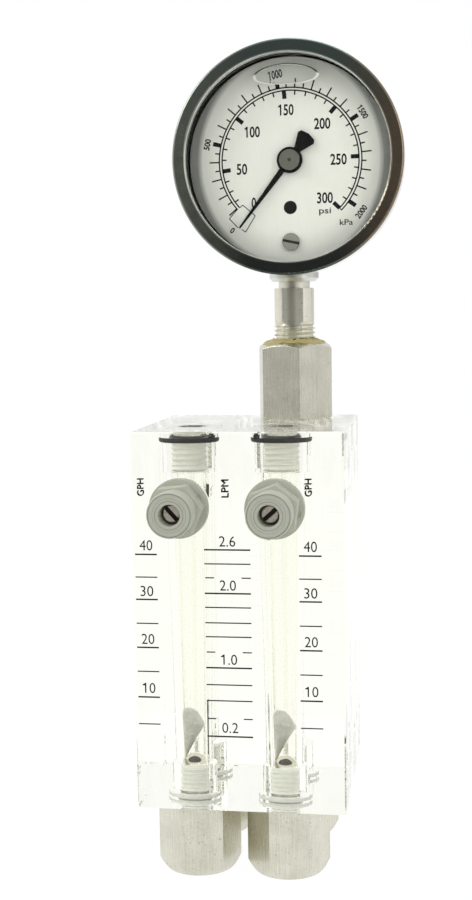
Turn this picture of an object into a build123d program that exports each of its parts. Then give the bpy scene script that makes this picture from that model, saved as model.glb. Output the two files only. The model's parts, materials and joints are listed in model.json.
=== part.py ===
"""Dual flow meter for a liquid supply.

One clear block carries two vertical flow tubes with cone floats, a needle
valve across the top of each tube, four pipe fittings underneath and a liquid
filled pressure gauge on a hexagon coupling at the rear right.

Frame: millimetres, +Z up, the front faces -Y, +X is right as seen from the
front. The origin lies on the plane that the lower fittings stand on, under the
middle of the whole object's outline.
"""
import os
from math import acos, asin, atan2, cos, degrees, hypot, pi, radians, sin, sqrt, tan

from build123d import *

# Block
BLOCK_W = 60.0
BLOCK_D = 63.0
BLOCK_H = 108.5
BLOCK_EDGE = 0.4
TUBE_LEFT_MARGIN = 14.5
TUBE_PITCH = 26.8
FRONT_ROW = 20.0
ROW_PITCH = 32.0
TUBE_D_BOTTOM = 11.2
TUBE_D_TOP = 14.4
CHANNEL_D = 8.0
CHANNEL_ABOVE_VALVE = 5.0

# Screwed port, the same for fittings, coupling and valves
NOSE_D = 13.1
NOSE_L = 10.0
THREAD_CLEAR = 0.05
PORT_END_GAP = 0.2
PORT_RING_OD = 15.6
PORT_RING_S = 1.8
RING_CLEAR = 0.02

# Pipe fitting
FITTING_AF = 21.3
FITTING_L = 23.6
FITTING_MOUTH_D = 20.4
FITTING_MOUTH_CHAMFER = 2.6
FITTING_SEAT_CHAMFER = 0.7
FITTING_BORE = 6.0
SOCKET_DEPTH = 13.0
SOCKET_LEAD = 0.8
FITTING_TURN_FRONT_LEFT = 12.6
FITTING_TURN_FRONT_RIGHT = 8.9
FITTING_TURN_REAR = 8.0
COUPLING_TURN = 18.1
COUPLING_MOUTH_D = 17.8
COUPLING_MOUTH_CHAMFER = 2.0

# Top plug
PLUG_HEAD_D = 17.4
PLUG_HEAD_T = 1.3
PLUG_THREAD_D = 16.0
PLUG_L = 12.3
PLUG_RING_S = 1.9
PLUG_KEY_AF = 8.0
PLUG_KEY_DEPTH = 6.0

# Float
FLOAT_D = 10.4
FLOAT_CONE_H = 13.2
FLOAT_RIM_H = 0.6
FLOAT_TOP_D = 5.4
FLOAT_TOP_H = 1.1
FLOAT_CLEAR = 0.06
FLOAT_SIDE_GAP = 0.44
FLOAT_TIP_R = 0.35

# Needle valve
VALVE_DROP = 20.9
FLANGE_D = 15.8
FLANGE_T = 2.2
BONNET_HEX_D = 14.8
BONNET_HEX_T = 5.8
BARREL_D = 13.3
BARREL_L = 12.0
BARREL_CHAMFER = 0.8
BARREL_HEAD_L = 3.4
BARREL_NECK_D = 12.2
BARREL_STEP_D = 9.2
BARREL_STEP = 0.5
BARREL_HOLE_D = 5.7
BONNET_TURN_LEFT = 6.0
BONNET_TURN_RIGHT = 22.0
SPINDLE_THREAD_D = 7.0
SPINDLE_THREAD_L = 8.0
SPINDLE_THREAD_OUT = 1.0
SPINDLE_HEAD_D = 4.6
SPINDLE_RECESS = 4.0
SPINDLE_NECK_D = 5.6
SPINDLE_TRAVEL = 3.5
SPINDLE_STOP_GAP = 0.2
SPINDLE_SLOT_W = 1.2
SPINDLE_SLOT_DEPTH = 1.2
SLOT_TURN_LEFT = -48.0
SLOT_TURN_RIGHT = 42.0
COLLAR_D = 7.5
COLLAR_L = 3.6
COLLAR_FROM_END = 1.2
SPINDLE_RING_S = 1.3
SPINDLE_GROOVE_W = 1.5
STEM_D = 4.0
NEEDLE_L = 4.0
NEEDLE_TIP_D = 1.6
SEAT_BORE_D = 5.0
SEAT_DEPTH = 8.0
ORIFICE_D = 2.6
SLIDE_CLEAR = 0.05

# Gauge, outside
GAUGE_ABOVE_BLOCK = 78.2
GAUGE_FRONT_OF_STEM = 16.7
RING_OD = 69.0
RING_BAND = 4.0
RING_T = 0.6
RING_FIT = 0.1
RING_LIP_T = 2.5
RING_REAR_LIP = 0.9
RING_ROUND = 0.7
WINDOW_T = 3.0
GASKET_T = 1.5
GASKET_W = 2.8
CASE_WALL = 0.7
CASE_FLANGE_W = 1.2
CASE_FLANGE_T = 1.1
CASE_DEPTH = 24.5
CASE_BACK_ROUND = 3.0
BOSS_D = 15.2
BOSS_DROP = 3.5
BOSS_TAPER = 1.0
FILL_PLUG_D = 7.0
FILL_PLUG_HEAD_D = 9.6
FILL_PLUG_HEAD_T = 1.6
FILL_PLUG_G = 20.0

# Gauge stem
NECK_D = 9.6
NECK_GROOVE_H = 5.6
STEM_FLAT_AF = 11.6
STEM_FLAT_H = 13.0
STEM_ROUND_D = 13.1
STEM_END_GAP = 0.8
STEM_BORE = 4.0
SEALANT_D = 17.6
SEALANT_H = 1.3

# Gauge movement, depths g count back from the front of the ring
DIAL_EDGE_GAP = 1.3
DIAL_T = 0.5
DIAL_GAP = 2.5
DIAL_HOLE_D = 3.2
DIAL_SCREW_DROP = 24.3
DIAL_SCREW_D = 2.0
DIAL_SCREW_HEAD_D = 5.2
DIAL_SCREW_HEAD_T = 0.9
PLATE_BEHIND_DIAL = 0.7
PLATE_T = 1.0
PLATE_GAP = 7.5
PLATE_EDGE = 2.2
PLATE_PIVOT_EDGE = 3.3
BUSH_D = 5.0
BLOCK_TOP_DROP = 18.5
SOCKET_W = 12.0
SOCKET_D = 10.0
PIVOT_CLEAR = 0.05
ARBOR_D = 0.9
STAFF_D = 1.2
PILLAR_D = 3.0
RIVET_D = 1.6
RIVET_HEAD_D = 2.6
RIVET_HEAD_T = 0.5

MODULE = 0.2
PINION_TEETH = 12
SECTOR_FULL_TEETH = 120
SECTOR_TEETH = 15
SECTOR_TURN = 27.8
PROFILE_SHIFT = 0.3
ADDENDUM = 0.9
DEDENDUM = 1.25
PRESSURE_ANGLE = 20.0
BACKLASH = 0.03
SECTOR_SIDE = -83.0
SECTOR_T = 0.8
SECTOR_RIM = 1.6
SECTOR_ARM_W = 2.4
HUB_D = 4.4
TAIL_L = 9.0
TAIL_ANGLE = -8.0
TAIL_W = 2.6
PINION_L = 2.4
LINK_PIN_D = 1.0
LINK_L = 6.5
LINK_ANGLE = 60.0
LINK_T = 0.6
LINK_W = 2.4
LINK_GAP = 0.2

BOURDON_R = 21.5
BOURDON_T = 2.4
BOURDON_W = 8.0
BOURDON_WALL = 0.35
BOURDON_START = 254.0
BOURDON_END = -28.0
TIP_CAP_L = 2.5
TIP_ARM_W = 3.0
TIP_ARM_T = 1.6
TIP_ARM_REACH_R = 12.0

HAIRSPRING_TURNS = 5
HAIRSPRING_R0 = 1.35
HAIRSPRING_R1 = 5.0
HAIRSPRING_T = 0.14
HAIRSPRING_W = 0.8
COLLET_D = 2.4
STUD_D = 1.0

HAND_L = 25.3
HAND_TAIL_L = 9.6
HAND_TAIL_W = 7.0
HAND_WAIST_W = 2.4
HAND_W = 2.0
HAND_TIP_W = 0.5
HAND_T = 0.3
HAND_ANGLE = 232.0
HAND_HUB_D = 7.8
HAND_CAP_D = 6.2
HAND_CAP_T = 1.0
HAND_LIFT = 1.2
HAND_TUBE_D = 2.4

# Places that follow from the sizes. The outline runs from the block's left
# side to the ring, and from the valve ends to the back of the gauge.
VALVE_REACH = FLANGE_T + BONNET_HEX_T + BARREL_L
GAUGE_FULL_DEPTH = RING_LIP_T + WINDOW_T + GASKET_T + CASE_DEPTH
OUTLINE_W = max(BLOCK_W, TUBE_LEFT_MARGIN + TUBE_PITCH + RING_OD / 2)
OUTLINE_D = max(BLOCK_D, FRONT_ROW + ROW_PITCH - GAUGE_FRONT_OF_STEM + GAUGE_FULL_DEPTH)
Z_BASE = FITTING_L
Z_TOP = Z_BASE + BLOCK_H
X_SIDE = -OUTLINE_W / 2
X_LEFT = X_SIDE + TUBE_LEFT_MARGIN
X_RIGHT = X_LEFT + TUBE_PITCH
Y_FACE = -(OUTLINE_D - VALVE_REACH) / 2
Y_FRONT = Y_FACE + FRONT_ROW
Y_REAR = Y_FRONT + ROW_PITCH
Z_VALVE = Z_TOP - VALVE_DROP
PORT_D = NOSE_D + 2 * THREAD_CLEAR
PORT_L = NOSE_L + PORT_END_GAP
PORT_RING_SEAT_D = PORT_RING_OD + 2 * RING_CLEAR
PORT_RING_SEAT_H = PORT_RING_S + RING_CLEAR
NOSE_NECK_D = PORT_RING_OD - 2 * PORT_RING_S - 2 * RING_CLEAR
Z_GAUGE = Z_TOP + GAUGE_ABOVE_BLOCK
Y_RING = Y_REAR - GAUGE_FRONT_OF_STEM
RING_ID = RING_OD - 2 * RING_BAND
CASE_OD = RING_OD - 2 * (RING_T + RING_FIT + CASE_FLANGE_W)
CASE_R = CASE_OD / 2
DIAL_R = CASE_R - CASE_WALL - DIAL_EDGE_GAP


def save(shape, name):
    export_step(shape, "parts/" + name + ".step")


def rod(x, y, z, d, length):
    """Upright cylinder standing on z."""
    return Pos(x, y, z) * Cylinder(d / 2, length, align=(Align.CENTER, Align.CENTER, Align.MIN))


def rod_y(x, z, d, y0, y1):
    """Cylinder along +Y from y0 to y1."""
    body = Cylinder(d / 2, y1 - y0, align=(Align.CENTER, Align.CENTER, Align.MIN))
    return Pos(x, y0, z) * Rot(-90, 0, 0) * body


def turned_z(x, y, z, points):
    """Solid of revolution about an upright axis, from (radius, height)."""
    face = make_face(Plane.XZ * Polyline(*points, close=True))
    return Pos(x, y, z) * revolve(face, Axis.Z, 360)


def turned_y(x, y, z, points):
    """Solid of revolution about an axis along Y, from (radius, depth)."""
    face = make_face(Polyline(*points, close=True))
    return Pos(x, y, z) * revolve(face, Axis.Y, 360)


def hexagon(across_flats, height, turn):
    profile = RegularPolygon(across_flats / sqrt(3), 6, rotation=turn)
    return extrude(profile, height)


def o_ring(outer_d, section):
    return Torus(outer_d / 2 - section / 2, section / 2)


def ring_edges(part, radius, y):
    """Circular edges of one radius in one plane of constant y."""
    found = []
    for e in part.edges().filter_by(GeomType.CIRCLE):
        if abs(e.radius - radius) < 1e-3 and abs(e.arc_center.Y - y) < 1e-3:
            found.append(e)
    return found


# Block

def port_cut():
    """Room for a screwed nose and its ring, from a face at z 0 upwards."""
    seat = rod(0, 0, -1, PORT_RING_SEAT_D, 1 + PORT_RING_SEAT_H)
    return seat + rod(0, 0, -1, PORT_D, 1 + PORT_L)


def block():
    body = Pos(X_SIDE, Y_FACE, Z_BASE) * Box(BLOCK_W, BLOCK_D, BLOCK_H, align=(Align.MIN, Align.MIN, Align.MIN))
    body = chamfer(body.edges(), BLOCK_EDGE)
    plug_room = PLUG_L + PORT_END_GAP
    tube_h = BLOCK_H - PORT_L - plug_room
    for x in (X_LEFT, X_RIGHT):
        body -= Pos(x, Y_FRONT, Z_BASE) * port_cut()
        body -= Pos(x, Y_REAR, Z_BASE) * port_cut()
        body -= Pos(x, Y_FRONT, Z_BASE + PORT_L) * Cone(
            TUBE_D_BOTTOM / 2, TUBE_D_TOP / 2, tube_h, align=(Align.CENTER, Align.CENTER, Align.MIN))
        body -= rod(x, Y_FRONT, Z_TOP - plug_room, PLUG_THREAD_D + 2 * THREAD_CLEAR, plug_room + 1)
        body -= rod(x, Y_FRONT, Z_TOP - PLUG_HEAD_T - PLUG_RING_S - RING_CLEAR,
                    PLUG_HEAD_D + 2 * THREAD_CLEAR, PLUG_HEAD_T + PLUG_RING_S + RING_CLEAR + 1)
        body -= Pos(x, Y_FACE, Z_VALVE) * Rot(-90, 0, 0) * port_cut()
        body -= rod_y(x, Z_VALVE, COLLAR_D + 2 * SLIDE_CLEAR, Y_FACE + PORT_L - 0.1, Y_FRONT)
        body -= rod_y(x, Z_VALVE, SEAT_BORE_D, Y_FRONT, Y_FRONT + SEAT_DEPTH)
        body -= rod_y(x, Z_VALVE, ORIFICE_D, Y_FRONT, Y_REAR)
    left_h = Z_VALVE + CHANNEL_ABOVE_VALVE - Z_BASE - PORT_L
    body -= rod(X_LEFT, Y_REAR, Z_BASE + PORT_L - 0.1, CHANNEL_D, left_h + 0.1)
    body -= rod(X_RIGHT, Y_REAR, Z_BASE + PORT_L - 0.1, CHANNEL_D, BLOCK_H - 2 * PORT_L + 0.2)
    body -= Pos(X_RIGHT, Y_REAR, Z_TOP) * Rot(180, 0, 0) * port_cut()
    return body


# Pipe fitting, made with its seat face at z 0, nose up and hexagon down

def fitting(turn, mouth_d=FITTING_MOUTH_D, mouth_chamfer=FITTING_MOUTH_CHAMFER):
    body = Pos(0, 0, -FITTING_L) * hexagon(FITTING_AF, FITTING_L, turn)
    corner = FITTING_AF / sqrt(3) + 0.01
    seat_r = corner - FITTING_SEAT_CHAMFER * 1.8
    envelope = turned_z(0, 0, 0, [
        (0, -FITTING_L), (mouth_d / 2, -FITTING_L),
        (corner, -FITTING_L + mouth_chamfer), (corner, -FITTING_SEAT_CHAMFER),
        (seat_r, 0), (0, 0)])
    body = body & envelope
    body += rod(0, 0, -0.1, NOSE_NECK_D, PORT_RING_SEAT_H + 0.2)
    body += turned_z(0, 0, 0, [
        (0, PORT_RING_SEAT_H), (NOSE_NECK_D / 2, PORT_RING_SEAT_H), (NOSE_D / 2, PORT_RING_SEAT_H + 0.5),
        (NOSE_D / 2, NOSE_L - 0.6), (NOSE_D / 2 - 0.6, NOSE_L), (0, NOSE_L)])
    body -= rod(0, 0, -FITTING_L - 1, FITTING_BORE, FITTING_L + NOSE_L + 2)
    body -= rod(0, 0, -FITTING_L - 1, PORT_D, 1 + SOCKET_DEPTH)
    body -= Pos(0, 0, -FITTING_L) * Cone(
        PORT_D / 2 + SOCKET_LEAD, PORT_D / 2, SOCKET_LEAD, align=(Align.CENTER, Align.CENTER, Align.MIN))
    return body


def top_plug():
    """Screw plug, made with its head flush at z 0 and its thread down."""
    groove_d = PLUG_HEAD_D - 2 * PLUG_RING_S - 2 * RING_CLEAR
    under = -PLUG_HEAD_T - PLUG_RING_S - RING_CLEAR
    body = turned_z(0, 0, 0, [
        (0, 0), (PLUG_HEAD_D / 2 - 0.3, 0), (PLUG_HEAD_D / 2, -0.3), (PLUG_HEAD_D / 2, -PLUG_HEAD_T),
        (groove_d / 2, -PLUG_HEAD_T), (groove_d / 2, under), (PLUG_THREAD_D / 2, under - 0.4),
        (PLUG_THREAD_D / 2, -PLUG_L + 0.8), (PLUG_THREAD_D / 2 - 0.8, -PLUG_L), (0, -PLUG_L)])
    key = Pos(0, 0, -PLUG_KEY_DEPTH) * hexagon(PLUG_KEY_AF, PLUG_KEY_DEPTH + 1, 0)
    return body - key


def float_cone():
    """Float standing on its point at z 0."""
    r = FLOAT_D / 2
    body = turned_z(0, 0, 0, [
        (0, 0), (FLOAT_TIP_R, 0.1), (r, FLOAT_CONE_H), (r, FLOAT_CONE_H + FLOAT_RIM_H),
        (FLOAT_TOP_D / 2, FLOAT_CONE_H + FLOAT_RIM_H + FLOAT_TOP_H),
        (0, FLOAT_CONE_H + FLOAT_RIM_H + FLOAT_TOP_H)])
    return body


def resting_float(x):
    """The float at rest leans with one side of its cone along the tube."""
    lean = degrees(atan2(FLOAT_D / 2 - FLOAT_TIP_R, FLOAT_CONE_H))
    body = Rot(0, lean, 0) * float_cone()
    box = body.bounding_box()
    left = FLOAT_SIDE_GAP - TUBE_D_BOTTOM / 2
    return Pos(x + left - box.min.X, Y_FRONT, Z_BASE + NOSE_L + FLOAT_CLEAR - box.min.Z) * body


# Needle valve, depths count back from the block's front face

def at_valve(x, depth):
    return Pos(x, Y_FACE + depth, Z_VALVE)


BONNET_FRONT = -VALVE_REACH
THREAD_BACK = SPINDLE_THREAD_OUT
SPINDLE_THREAD_BACK = THREAD_BACK - 2 * SPINDLE_THREAD_OUT
SPINDLE_THREAD_FRONT = SPINDLE_THREAD_BACK - SPINDLE_THREAD_L
THREAD_FRONT = SPINDLE_THREAD_FRONT - SPINDLE_TRAVEL - SPINDLE_STOP_GAP
SPINDLE_FRONT = BONNET_FRONT + SPINDLE_RECESS
COLLAR_BACK = NOSE_L - COLLAR_FROM_END
COLLAR_FRONT = COLLAR_BACK - COLLAR_L
SEAT_AT = FRONT_ROW + SEAT_DEPTH
NEEDLE_SLOPE = (STEM_D - NEEDLE_TIP_D) / NEEDLE_L
NEEDLE_START = SEAT_AT - (STEM_D - ORIFICE_D + 2 * SLIDE_CLEAR) / NEEDLE_SLOPE
RING_MIDDLE = (COLLAR_FRONT + COLLAR_BACK) / 2


def bonnet(x, turn):
    hex_front = -(FLANGE_T + BONNET_HEX_T)
    ring_h = PORT_RING_SEAT_H
    body = turned_y(x, Y_FACE, Z_VALVE, [
        (0, BONNET_FRONT), (BARREL_D / 2 - BARREL_CHAMFER, BONNET_FRONT),
        (BARREL_D / 2, BONNET_FRONT + BARREL_CHAMFER), (BARREL_D / 2, BONNET_FRONT + BARREL_HEAD_L),
        (BARREL_NECK_D / 2, BONNET_FRONT + BARREL_HEAD_L), (BARREL_NECK_D / 2, -FLANGE_T),
        (FLANGE_D / 2 - 0.3, -FLANGE_T), (FLANGE_D / 2, -FLANGE_T + 0.3), (FLANGE_D / 2, 0),
        (NOSE_NECK_D / 2, 0), (NOSE_NECK_D / 2, ring_h), (NOSE_D / 2, ring_h + 0.5),
        (NOSE_D / 2, NOSE_L - 0.6), (NOSE_D / 2 - 0.6, NOSE_L), (0, NOSE_L)])
    nut = hexagon(BONNET_HEX_D * sqrt(3) / 2, BONNET_HEX_T, turn)
    nut = nut & turned_z(0, 0, 0, [
        (0, 0), (BONNET_HEX_D / 2 + 0.01, 0), (BONNET_HEX_D / 2 + 0.01, BONNET_HEX_T - 0.7),
        (BONNET_HEX_D / 2 - 1.2, BONNET_HEX_T), (0, BONNET_HEX_T)])
    body += at_valve(x, -FLANGE_T) * Rot(90, 0, 0) * nut
    body -= rod_y(x, Z_VALVE, BARREL_STEP_D, Y_FACE + BONNET_FRONT - 1, Y_FACE + BONNET_FRONT + BARREL_STEP)
    body -= rod_y(x, Z_VALVE, BARREL_HOLE_D, Y_FACE + BONNET_FRONT - 1, Y_FACE)
    body -= rod_y(x, Z_VALVE, SPINDLE_THREAD_D + 2 * SLIDE_CLEAR, Y_FACE + THREAD_FRONT, Y_FACE + THREAD_BACK)
    body -= rod_y(x, Z_VALVE, COLLAR_D + 2 * SLIDE_CLEAR, Y_FACE + THREAD_BACK, Y_FACE + NOSE_L + 1)
    return body


def spindle(x, slot_turn):
    groove_d = COLLAR_D - 2 * SPINDLE_RING_S - 2 * SLIDE_CLEAR
    g0 = RING_MIDDLE - SPINDLE_GROOVE_W / 2
    g1 = RING_MIDDLE + SPINDLE_GROOVE_W / 2
    body = turned_y(x, Y_FACE, Z_VALVE, [
        (0, SPINDLE_FRONT), (SPINDLE_HEAD_D / 2 - 0.2, SPINDLE_FRONT), (SPINDLE_HEAD_D / 2, SPINDLE_FRONT + 0.2),
        (SPINDLE_HEAD_D / 2, SPINDLE_THREAD_FRONT), (SPINDLE_THREAD_D / 2, SPINDLE_THREAD_FRONT),
        (SPINDLE_THREAD_D / 2, SPINDLE_THREAD_BACK), (SPINDLE_NECK_D / 2, SPINDLE_THREAD_BACK),
        (SPINDLE_NECK_D / 2, COLLAR_FRONT), (COLLAR_D / 2, COLLAR_FRONT), (COLLAR_D / 2, g0),
        (groove_d / 2, g0), (groove_d / 2, g1), (COLLAR_D / 2, g1), (COLLAR_D / 2, COLLAR_BACK),
        (STEM_D / 2, COLLAR_BACK), (STEM_D / 2, NEEDLE_START),
        (NEEDLE_TIP_D / 2, NEEDLE_START + NEEDLE_L), (0, NEEDLE_START + NEEDLE_L)])
    slot = Box(SPINDLE_HEAD_D + 1, SPINDLE_SLOT_DEPTH * 2, SPINDLE_SLOT_W)
    return body - at_valve(x, SPINDLE_FRONT) * Rot(0, -slot_turn, 0) * slot


# Gauge, outside

def g(depth):
    """World y of a depth behind the front of the gauge's ring."""
    return Y_RING + depth


WINDOW_G = RING_LIP_T
GASKET_G = WINDOW_G + WINDOW_T
FLANGE_G = GASKET_G + GASKET_T
FLANGE_BACK_G = FLANGE_G + CASE_FLANGE_T
DIAL_G = FLANGE_G + DIAL_GAP
CASE_BACK_G = FLANGE_G + CASE_DEPTH
RING_INNER_R = RING_OD / 2 - RING_T
SOCKET_G = GAUGE_FRONT_OF_STEM
CASE_IN_R = CASE_R - CASE_WALL


def bezel():
    r = RING_OD / 2
    back = FLANGE_BACK_G + RING_REAR_LIP
    body = turned_y(X_RIGHT, Y_RING, Z_GAUGE, [
        (RING_ID / 2, 0), (r, 0), (r, back), (CASE_R + 0.3, back), (CASE_R + 0.3, FLANGE_BACK_G),
        (RING_INNER_R, FLANGE_BACK_G), (RING_INNER_R, RING_LIP_T), (RING_ID / 2, RING_LIP_T)])
    body = fillet(ring_edges(body, r, Y_RING), RING_ROUND)
    body = fillet(ring_edges(body, RING_ID / 2, Y_RING), min(RING_ROUND, RING_LIP_T * 0.6))
    return body


def window():
    return rod_y(X_RIGHT, Z_GAUGE, 2 * (RING_INNER_R - RING_FIT), g(WINDOW_G), g(GASKET_G))


def gasket():
    r = RING_INNER_R - 0.3
    return (rod_y(X_RIGHT, Z_GAUGE, 2 * r, g(GASKET_G), g(FLANGE_G))
            - rod_y(X_RIGHT, Z_GAUGE, 2 * (r - GASKET_W), g(GASKET_G) - 1, g(FLANGE_G) + 1))


def case():
    flange_r = RING_INNER_R - RING_FIT
    body = turned_y(X_RIGHT, Y_RING, Z_GAUGE, [
        (CASE_IN_R, FLANGE_G), (flange_r, FLANGE_G), (flange_r, FLANGE_BACK_G), (CASE_R, FLANGE_BACK_G),
        (CASE_R, CASE_BACK_G), (0, CASE_BACK_G), (0, CASE_BACK_G - CASE_WALL),
        (CASE_IN_R, CASE_BACK_G - CASE_WALL)])
    body = fillet(ring_edges(body, CASE_R, g(CASE_BACK_G)), CASE_BACK_ROUND)
    body = fillet(ring_edges(body, CASE_IN_R, g(CASE_BACK_G - CASE_WALL)), CASE_BACK_ROUND - CASE_WALL)
    body -= rod(X_RIGHT, Y_REAR, Z_GAUGE - CASE_R - 3, NECK_D + 2 * THREAD_CLEAR, CASE_R / 2)
    body -= rod(X_RIGHT, g(FILL_PLUG_G), Z_GAUGE + CASE_R / 2, FILL_PLUG_D + 2 * THREAD_CLEAR, CASE_R)
    return body


def boss():
    """Collar on the neck that clamps the case wall to the socket."""
    z0 = Z_GAUGE - CASE_R - BOSS_DROP
    body = turned_z(X_RIGHT, Y_REAR, z0, [
        (NECK_D / 2 + THREAD_CLEAR, 0), (BOSS_D / 2 - BOSS_TAPER, 0), (BOSS_D / 2, BOSS_TAPER),
        (BOSS_D / 2, BOSS_DROP + 2), (NECK_D / 2 + THREAD_CLEAR, BOSS_DROP + 2)])
    return body - rod_y(X_RIGHT, Z_GAUGE, CASE_OD, g(0), g(CASE_BACK_G) + 5)


def fill_plug():
    z0 = Z_GAUGE + CASE_IN_R - 1.2
    top = CASE_R + FILL_PLUG_HEAD_T
    stem = rod(X_RIGHT, g(FILL_PLUG_G), z0, FILL_PLUG_D, top - CASE_IN_R + 1.2)
    head = rod(X_RIGHT, g(FILL_PLUG_G), Z_GAUGE + CASE_R - 2, FILL_PLUG_HEAD_D, FILL_PLUG_HEAD_T + 2)
    head -= rod_y(X_RIGHT, Z_GAUGE, CASE_OD, g(0), g(CASE_BACK_G) + 5)
    return stem + head


def tube_profile(width, thick):
    """Flattened oval, wide along Y, for the pressure tube's section."""
    return SlotOverall(width, thick) if width > thick else Circle(thick / 2)


def arc_point(r, angle):
    return (r * cos(radians(angle)), r * sin(radians(angle)))


def oval_ring(width, thick, start, end):
    """Oval section swept about the gauge's axis from start down to end."""
    section = Plane(origin=(BOURDON_R, g(SOCKET_G), 0), x_dir=(0, 1, 0), z_dir=(0, 0, 1)) * tube_profile(width, thick)
    turned = revolve(section, Axis((0, 0, 0), (0, 1, 0)), start - end)
    # A turn about +Y runs clockwise as seen from the front.
    turned = Rot(0, -start, 0) * turned
    return Pos(X_RIGHT, 0, Z_GAUGE) * turned


def socket():
    """Stem, wrench flats, neck and the block that carries the movement."""
    z_in = Z_TOP + FITTING_L - SOCKET_DEPTH + STEM_END_GAP
    z_neck = Z_GAUGE - CASE_R - NECK_GROOVE_H
    z_flat = z_neck - STEM_FLAT_H
    thread = turned_z(X_RIGHT, Y_REAR, 0, [
        (0, z_in), (STEM_ROUND_D / 2 - 0.8, z_in), (STEM_ROUND_D / 2, z_in + 0.8),
        (STEM_ROUND_D / 2, z_flat), (0, z_flat)])
    flats = Pos(X_RIGHT, Y_REAR, z_flat) * Box(
        STEM_FLAT_AF, STEM_FLAT_AF, STEM_FLAT_H, align=(Align.CENTER, Align.CENTER, Align.MIN))
    flats = flats & rod(X_RIGHT, Y_REAR, z_flat, STEM_ROUND_D, STEM_FLAT_H)
    z_block = Z_GAUGE - CASE_IN_R
    neck = rod(X_RIGHT, Y_REAR, z_neck - 0.1, NECK_D, z_block - z_neck + 1.5)
    top = Z_GAUGE - BLOCK_TOP_DROP
    carrier = Pos(X_RIGHT, Y_REAR, z_block - 1) * Box(
        SOCKET_W, SOCKET_D, top - z_block + 1, align=(Align.CENTER, Align.CENTER, Align.MIN))
    carrier = carrier & rod_y(X_RIGHT, Z_GAUGE, 2 * CASE_IN_R, g(0), g(CASE_BACK_G))
    body = thread + flats + neck + carrier
    front = SOCKET_G - SOCKET_D / 2
    body += rod_y(X_RIGHT, Z_GAUGE - DIAL_SCREW_DROP, DIAL_SCREW_HEAD_D - 0.4, g(DIAL_G + DIAL_T), g(front) + 1)
    body -= rod_y(X_RIGHT, Z_GAUGE - DIAL_SCREW_DROP, DIAL_SCREW_D + 2 * THREAD_CLEAR,
                  g(DIAL_G), g(front) + 2.5)
    body -= rod(X_RIGHT, Y_REAR, z_in - 1, STEM_BORE, top - z_in - 2)
    for side in (-1, 1):
        body -= rod_y(X_RIGHT + side * TAB_SCREW_X, Z_GAUGE - TAB_SCREW_DROP, RIVET_D + 2 * THREAD_CLEAR,
                      g(front) - 1, g(front) + 3)
    body -= oval_ring(BOURDON_W, BOURDON_T, BOURDON_START + 4, BOURDON_START - 6)
    return body


TAB_SCREW_X = 3.3
TAB_SCREW_DROP = 20.3
TAB_INSET = 0.6


# Gauge movement, drawn as seen from the front with the hand's arbor at 0, 0

def sheet(points, g0, g1):
    """Flat piece between two depths, from an outline seen from the front."""
    back = Plane(origin=(X_RIGHT, g(g1), Z_GAUGE), x_dir=(1, 0, 0), z_dir=(0, -1, 0))
    return extrude(back * make_face(Polyline(*points, close=True)), g1 - g0)


def disc(p, d, g0, g1):
    return rod_y(X_RIGHT + p[0], Z_GAUGE + p[1], d, g(g0), g(g1))


def bar(a, b, width, g0, g1):
    """Flat bar with round ends between two points."""
    dx, dz = b[0] - a[0], b[1] - a[1]
    n = hypot(dx, dz)
    px, pz = -dz / n * width / 2, dx / n * width / 2
    body = sheet([(a[0] + px, a[1] + pz), (b[0] + px, b[1] + pz),
                  (b[0] - px, b[1] - pz), (a[0] - px, a[1] - pz)], g0, g1)
    return body + disc(a, width, g0, g1) + disc(b, width, g0, g1)


def polar(p, length, angle):
    return (p[0] + length * cos(radians(angle)), p[1] + length * sin(radians(angle)))


CENTRE = (0.0, 0.0)
GEAR_DISTANCE = MODULE * (PINION_TEETH + SECTOR_FULL_TEETH) / 2
PIVOT = polar(CENTRE, GEAR_DISTANCE, SECTOR_SIDE)
MESH_ANGLE = SECTOR_SIDE + 180.0
TAIL = polar(PIVOT, TAIL_L, TAIL_ANGLE)
TIP_PIN = polar(TAIL, LINK_L, LINK_ANGLE)
PILLARS = ((-8.5, -10.5), (9.5, -2.5), (-5.5, 6.5))
FRONT_PLATE_G = DIAL_G + DIAL_T + PLATE_BEHIND_DIAL
INSIDE_G = FRONT_PLATE_G + PLATE_T
REAR_PLATE_G = INSIDE_G + PLATE_GAP
REAR_PLATE_BACK_G = REAR_PLATE_G + PLATE_T
GEAR_G = INSIDE_G + PLATE_GAP / 2


def tooth_half_angle(teeth, shift, r):
    """Half the angle of a tooth at radius r, in radians."""
    pitch_r = MODULE * teeth / 2
    base_r = pitch_r * cos(radians(PRESSURE_ANGLE))
    a0 = radians(PRESSURE_ANGLE)
    a = acos(min(1.0, base_r / max(r, base_r)))
    thick = MODULE * (pi / 2 + 2 * shift * tan(a0)) - BACKLASH
    return thick / (2 * pitch_r) + (tan(a0) - a0) - (tan(a) - a)


def tooth_points(centre, teeth, shift, angle):
    """Outline of one tooth, clockwise flank first, about its own angle."""
    pitch_r = MODULE * teeth / 2
    base_r = pitch_r * cos(radians(PRESSURE_ANGLE))
    tip_r = pitch_r + MODULE * (ADDENDUM + shift)
    root_r = pitch_r - MODULE * (DEDENDUM - shift)
    start_r = max(base_r, root_r)
    radii = [start_r + (tip_r - start_r) * k / 4 for k in range(5)]
    flank = [(r, degrees(tooth_half_angle(teeth, shift, r))) for r in radii]
    if root_r < base_r:
        flank.insert(0, (root_r, flank[0][1]))
    right = [polar(centre, r, angle - h) for r, h in flank]
    left = [polar(centre, r, angle + h) for r, h in reversed(flank)]
    return right + left


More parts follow.
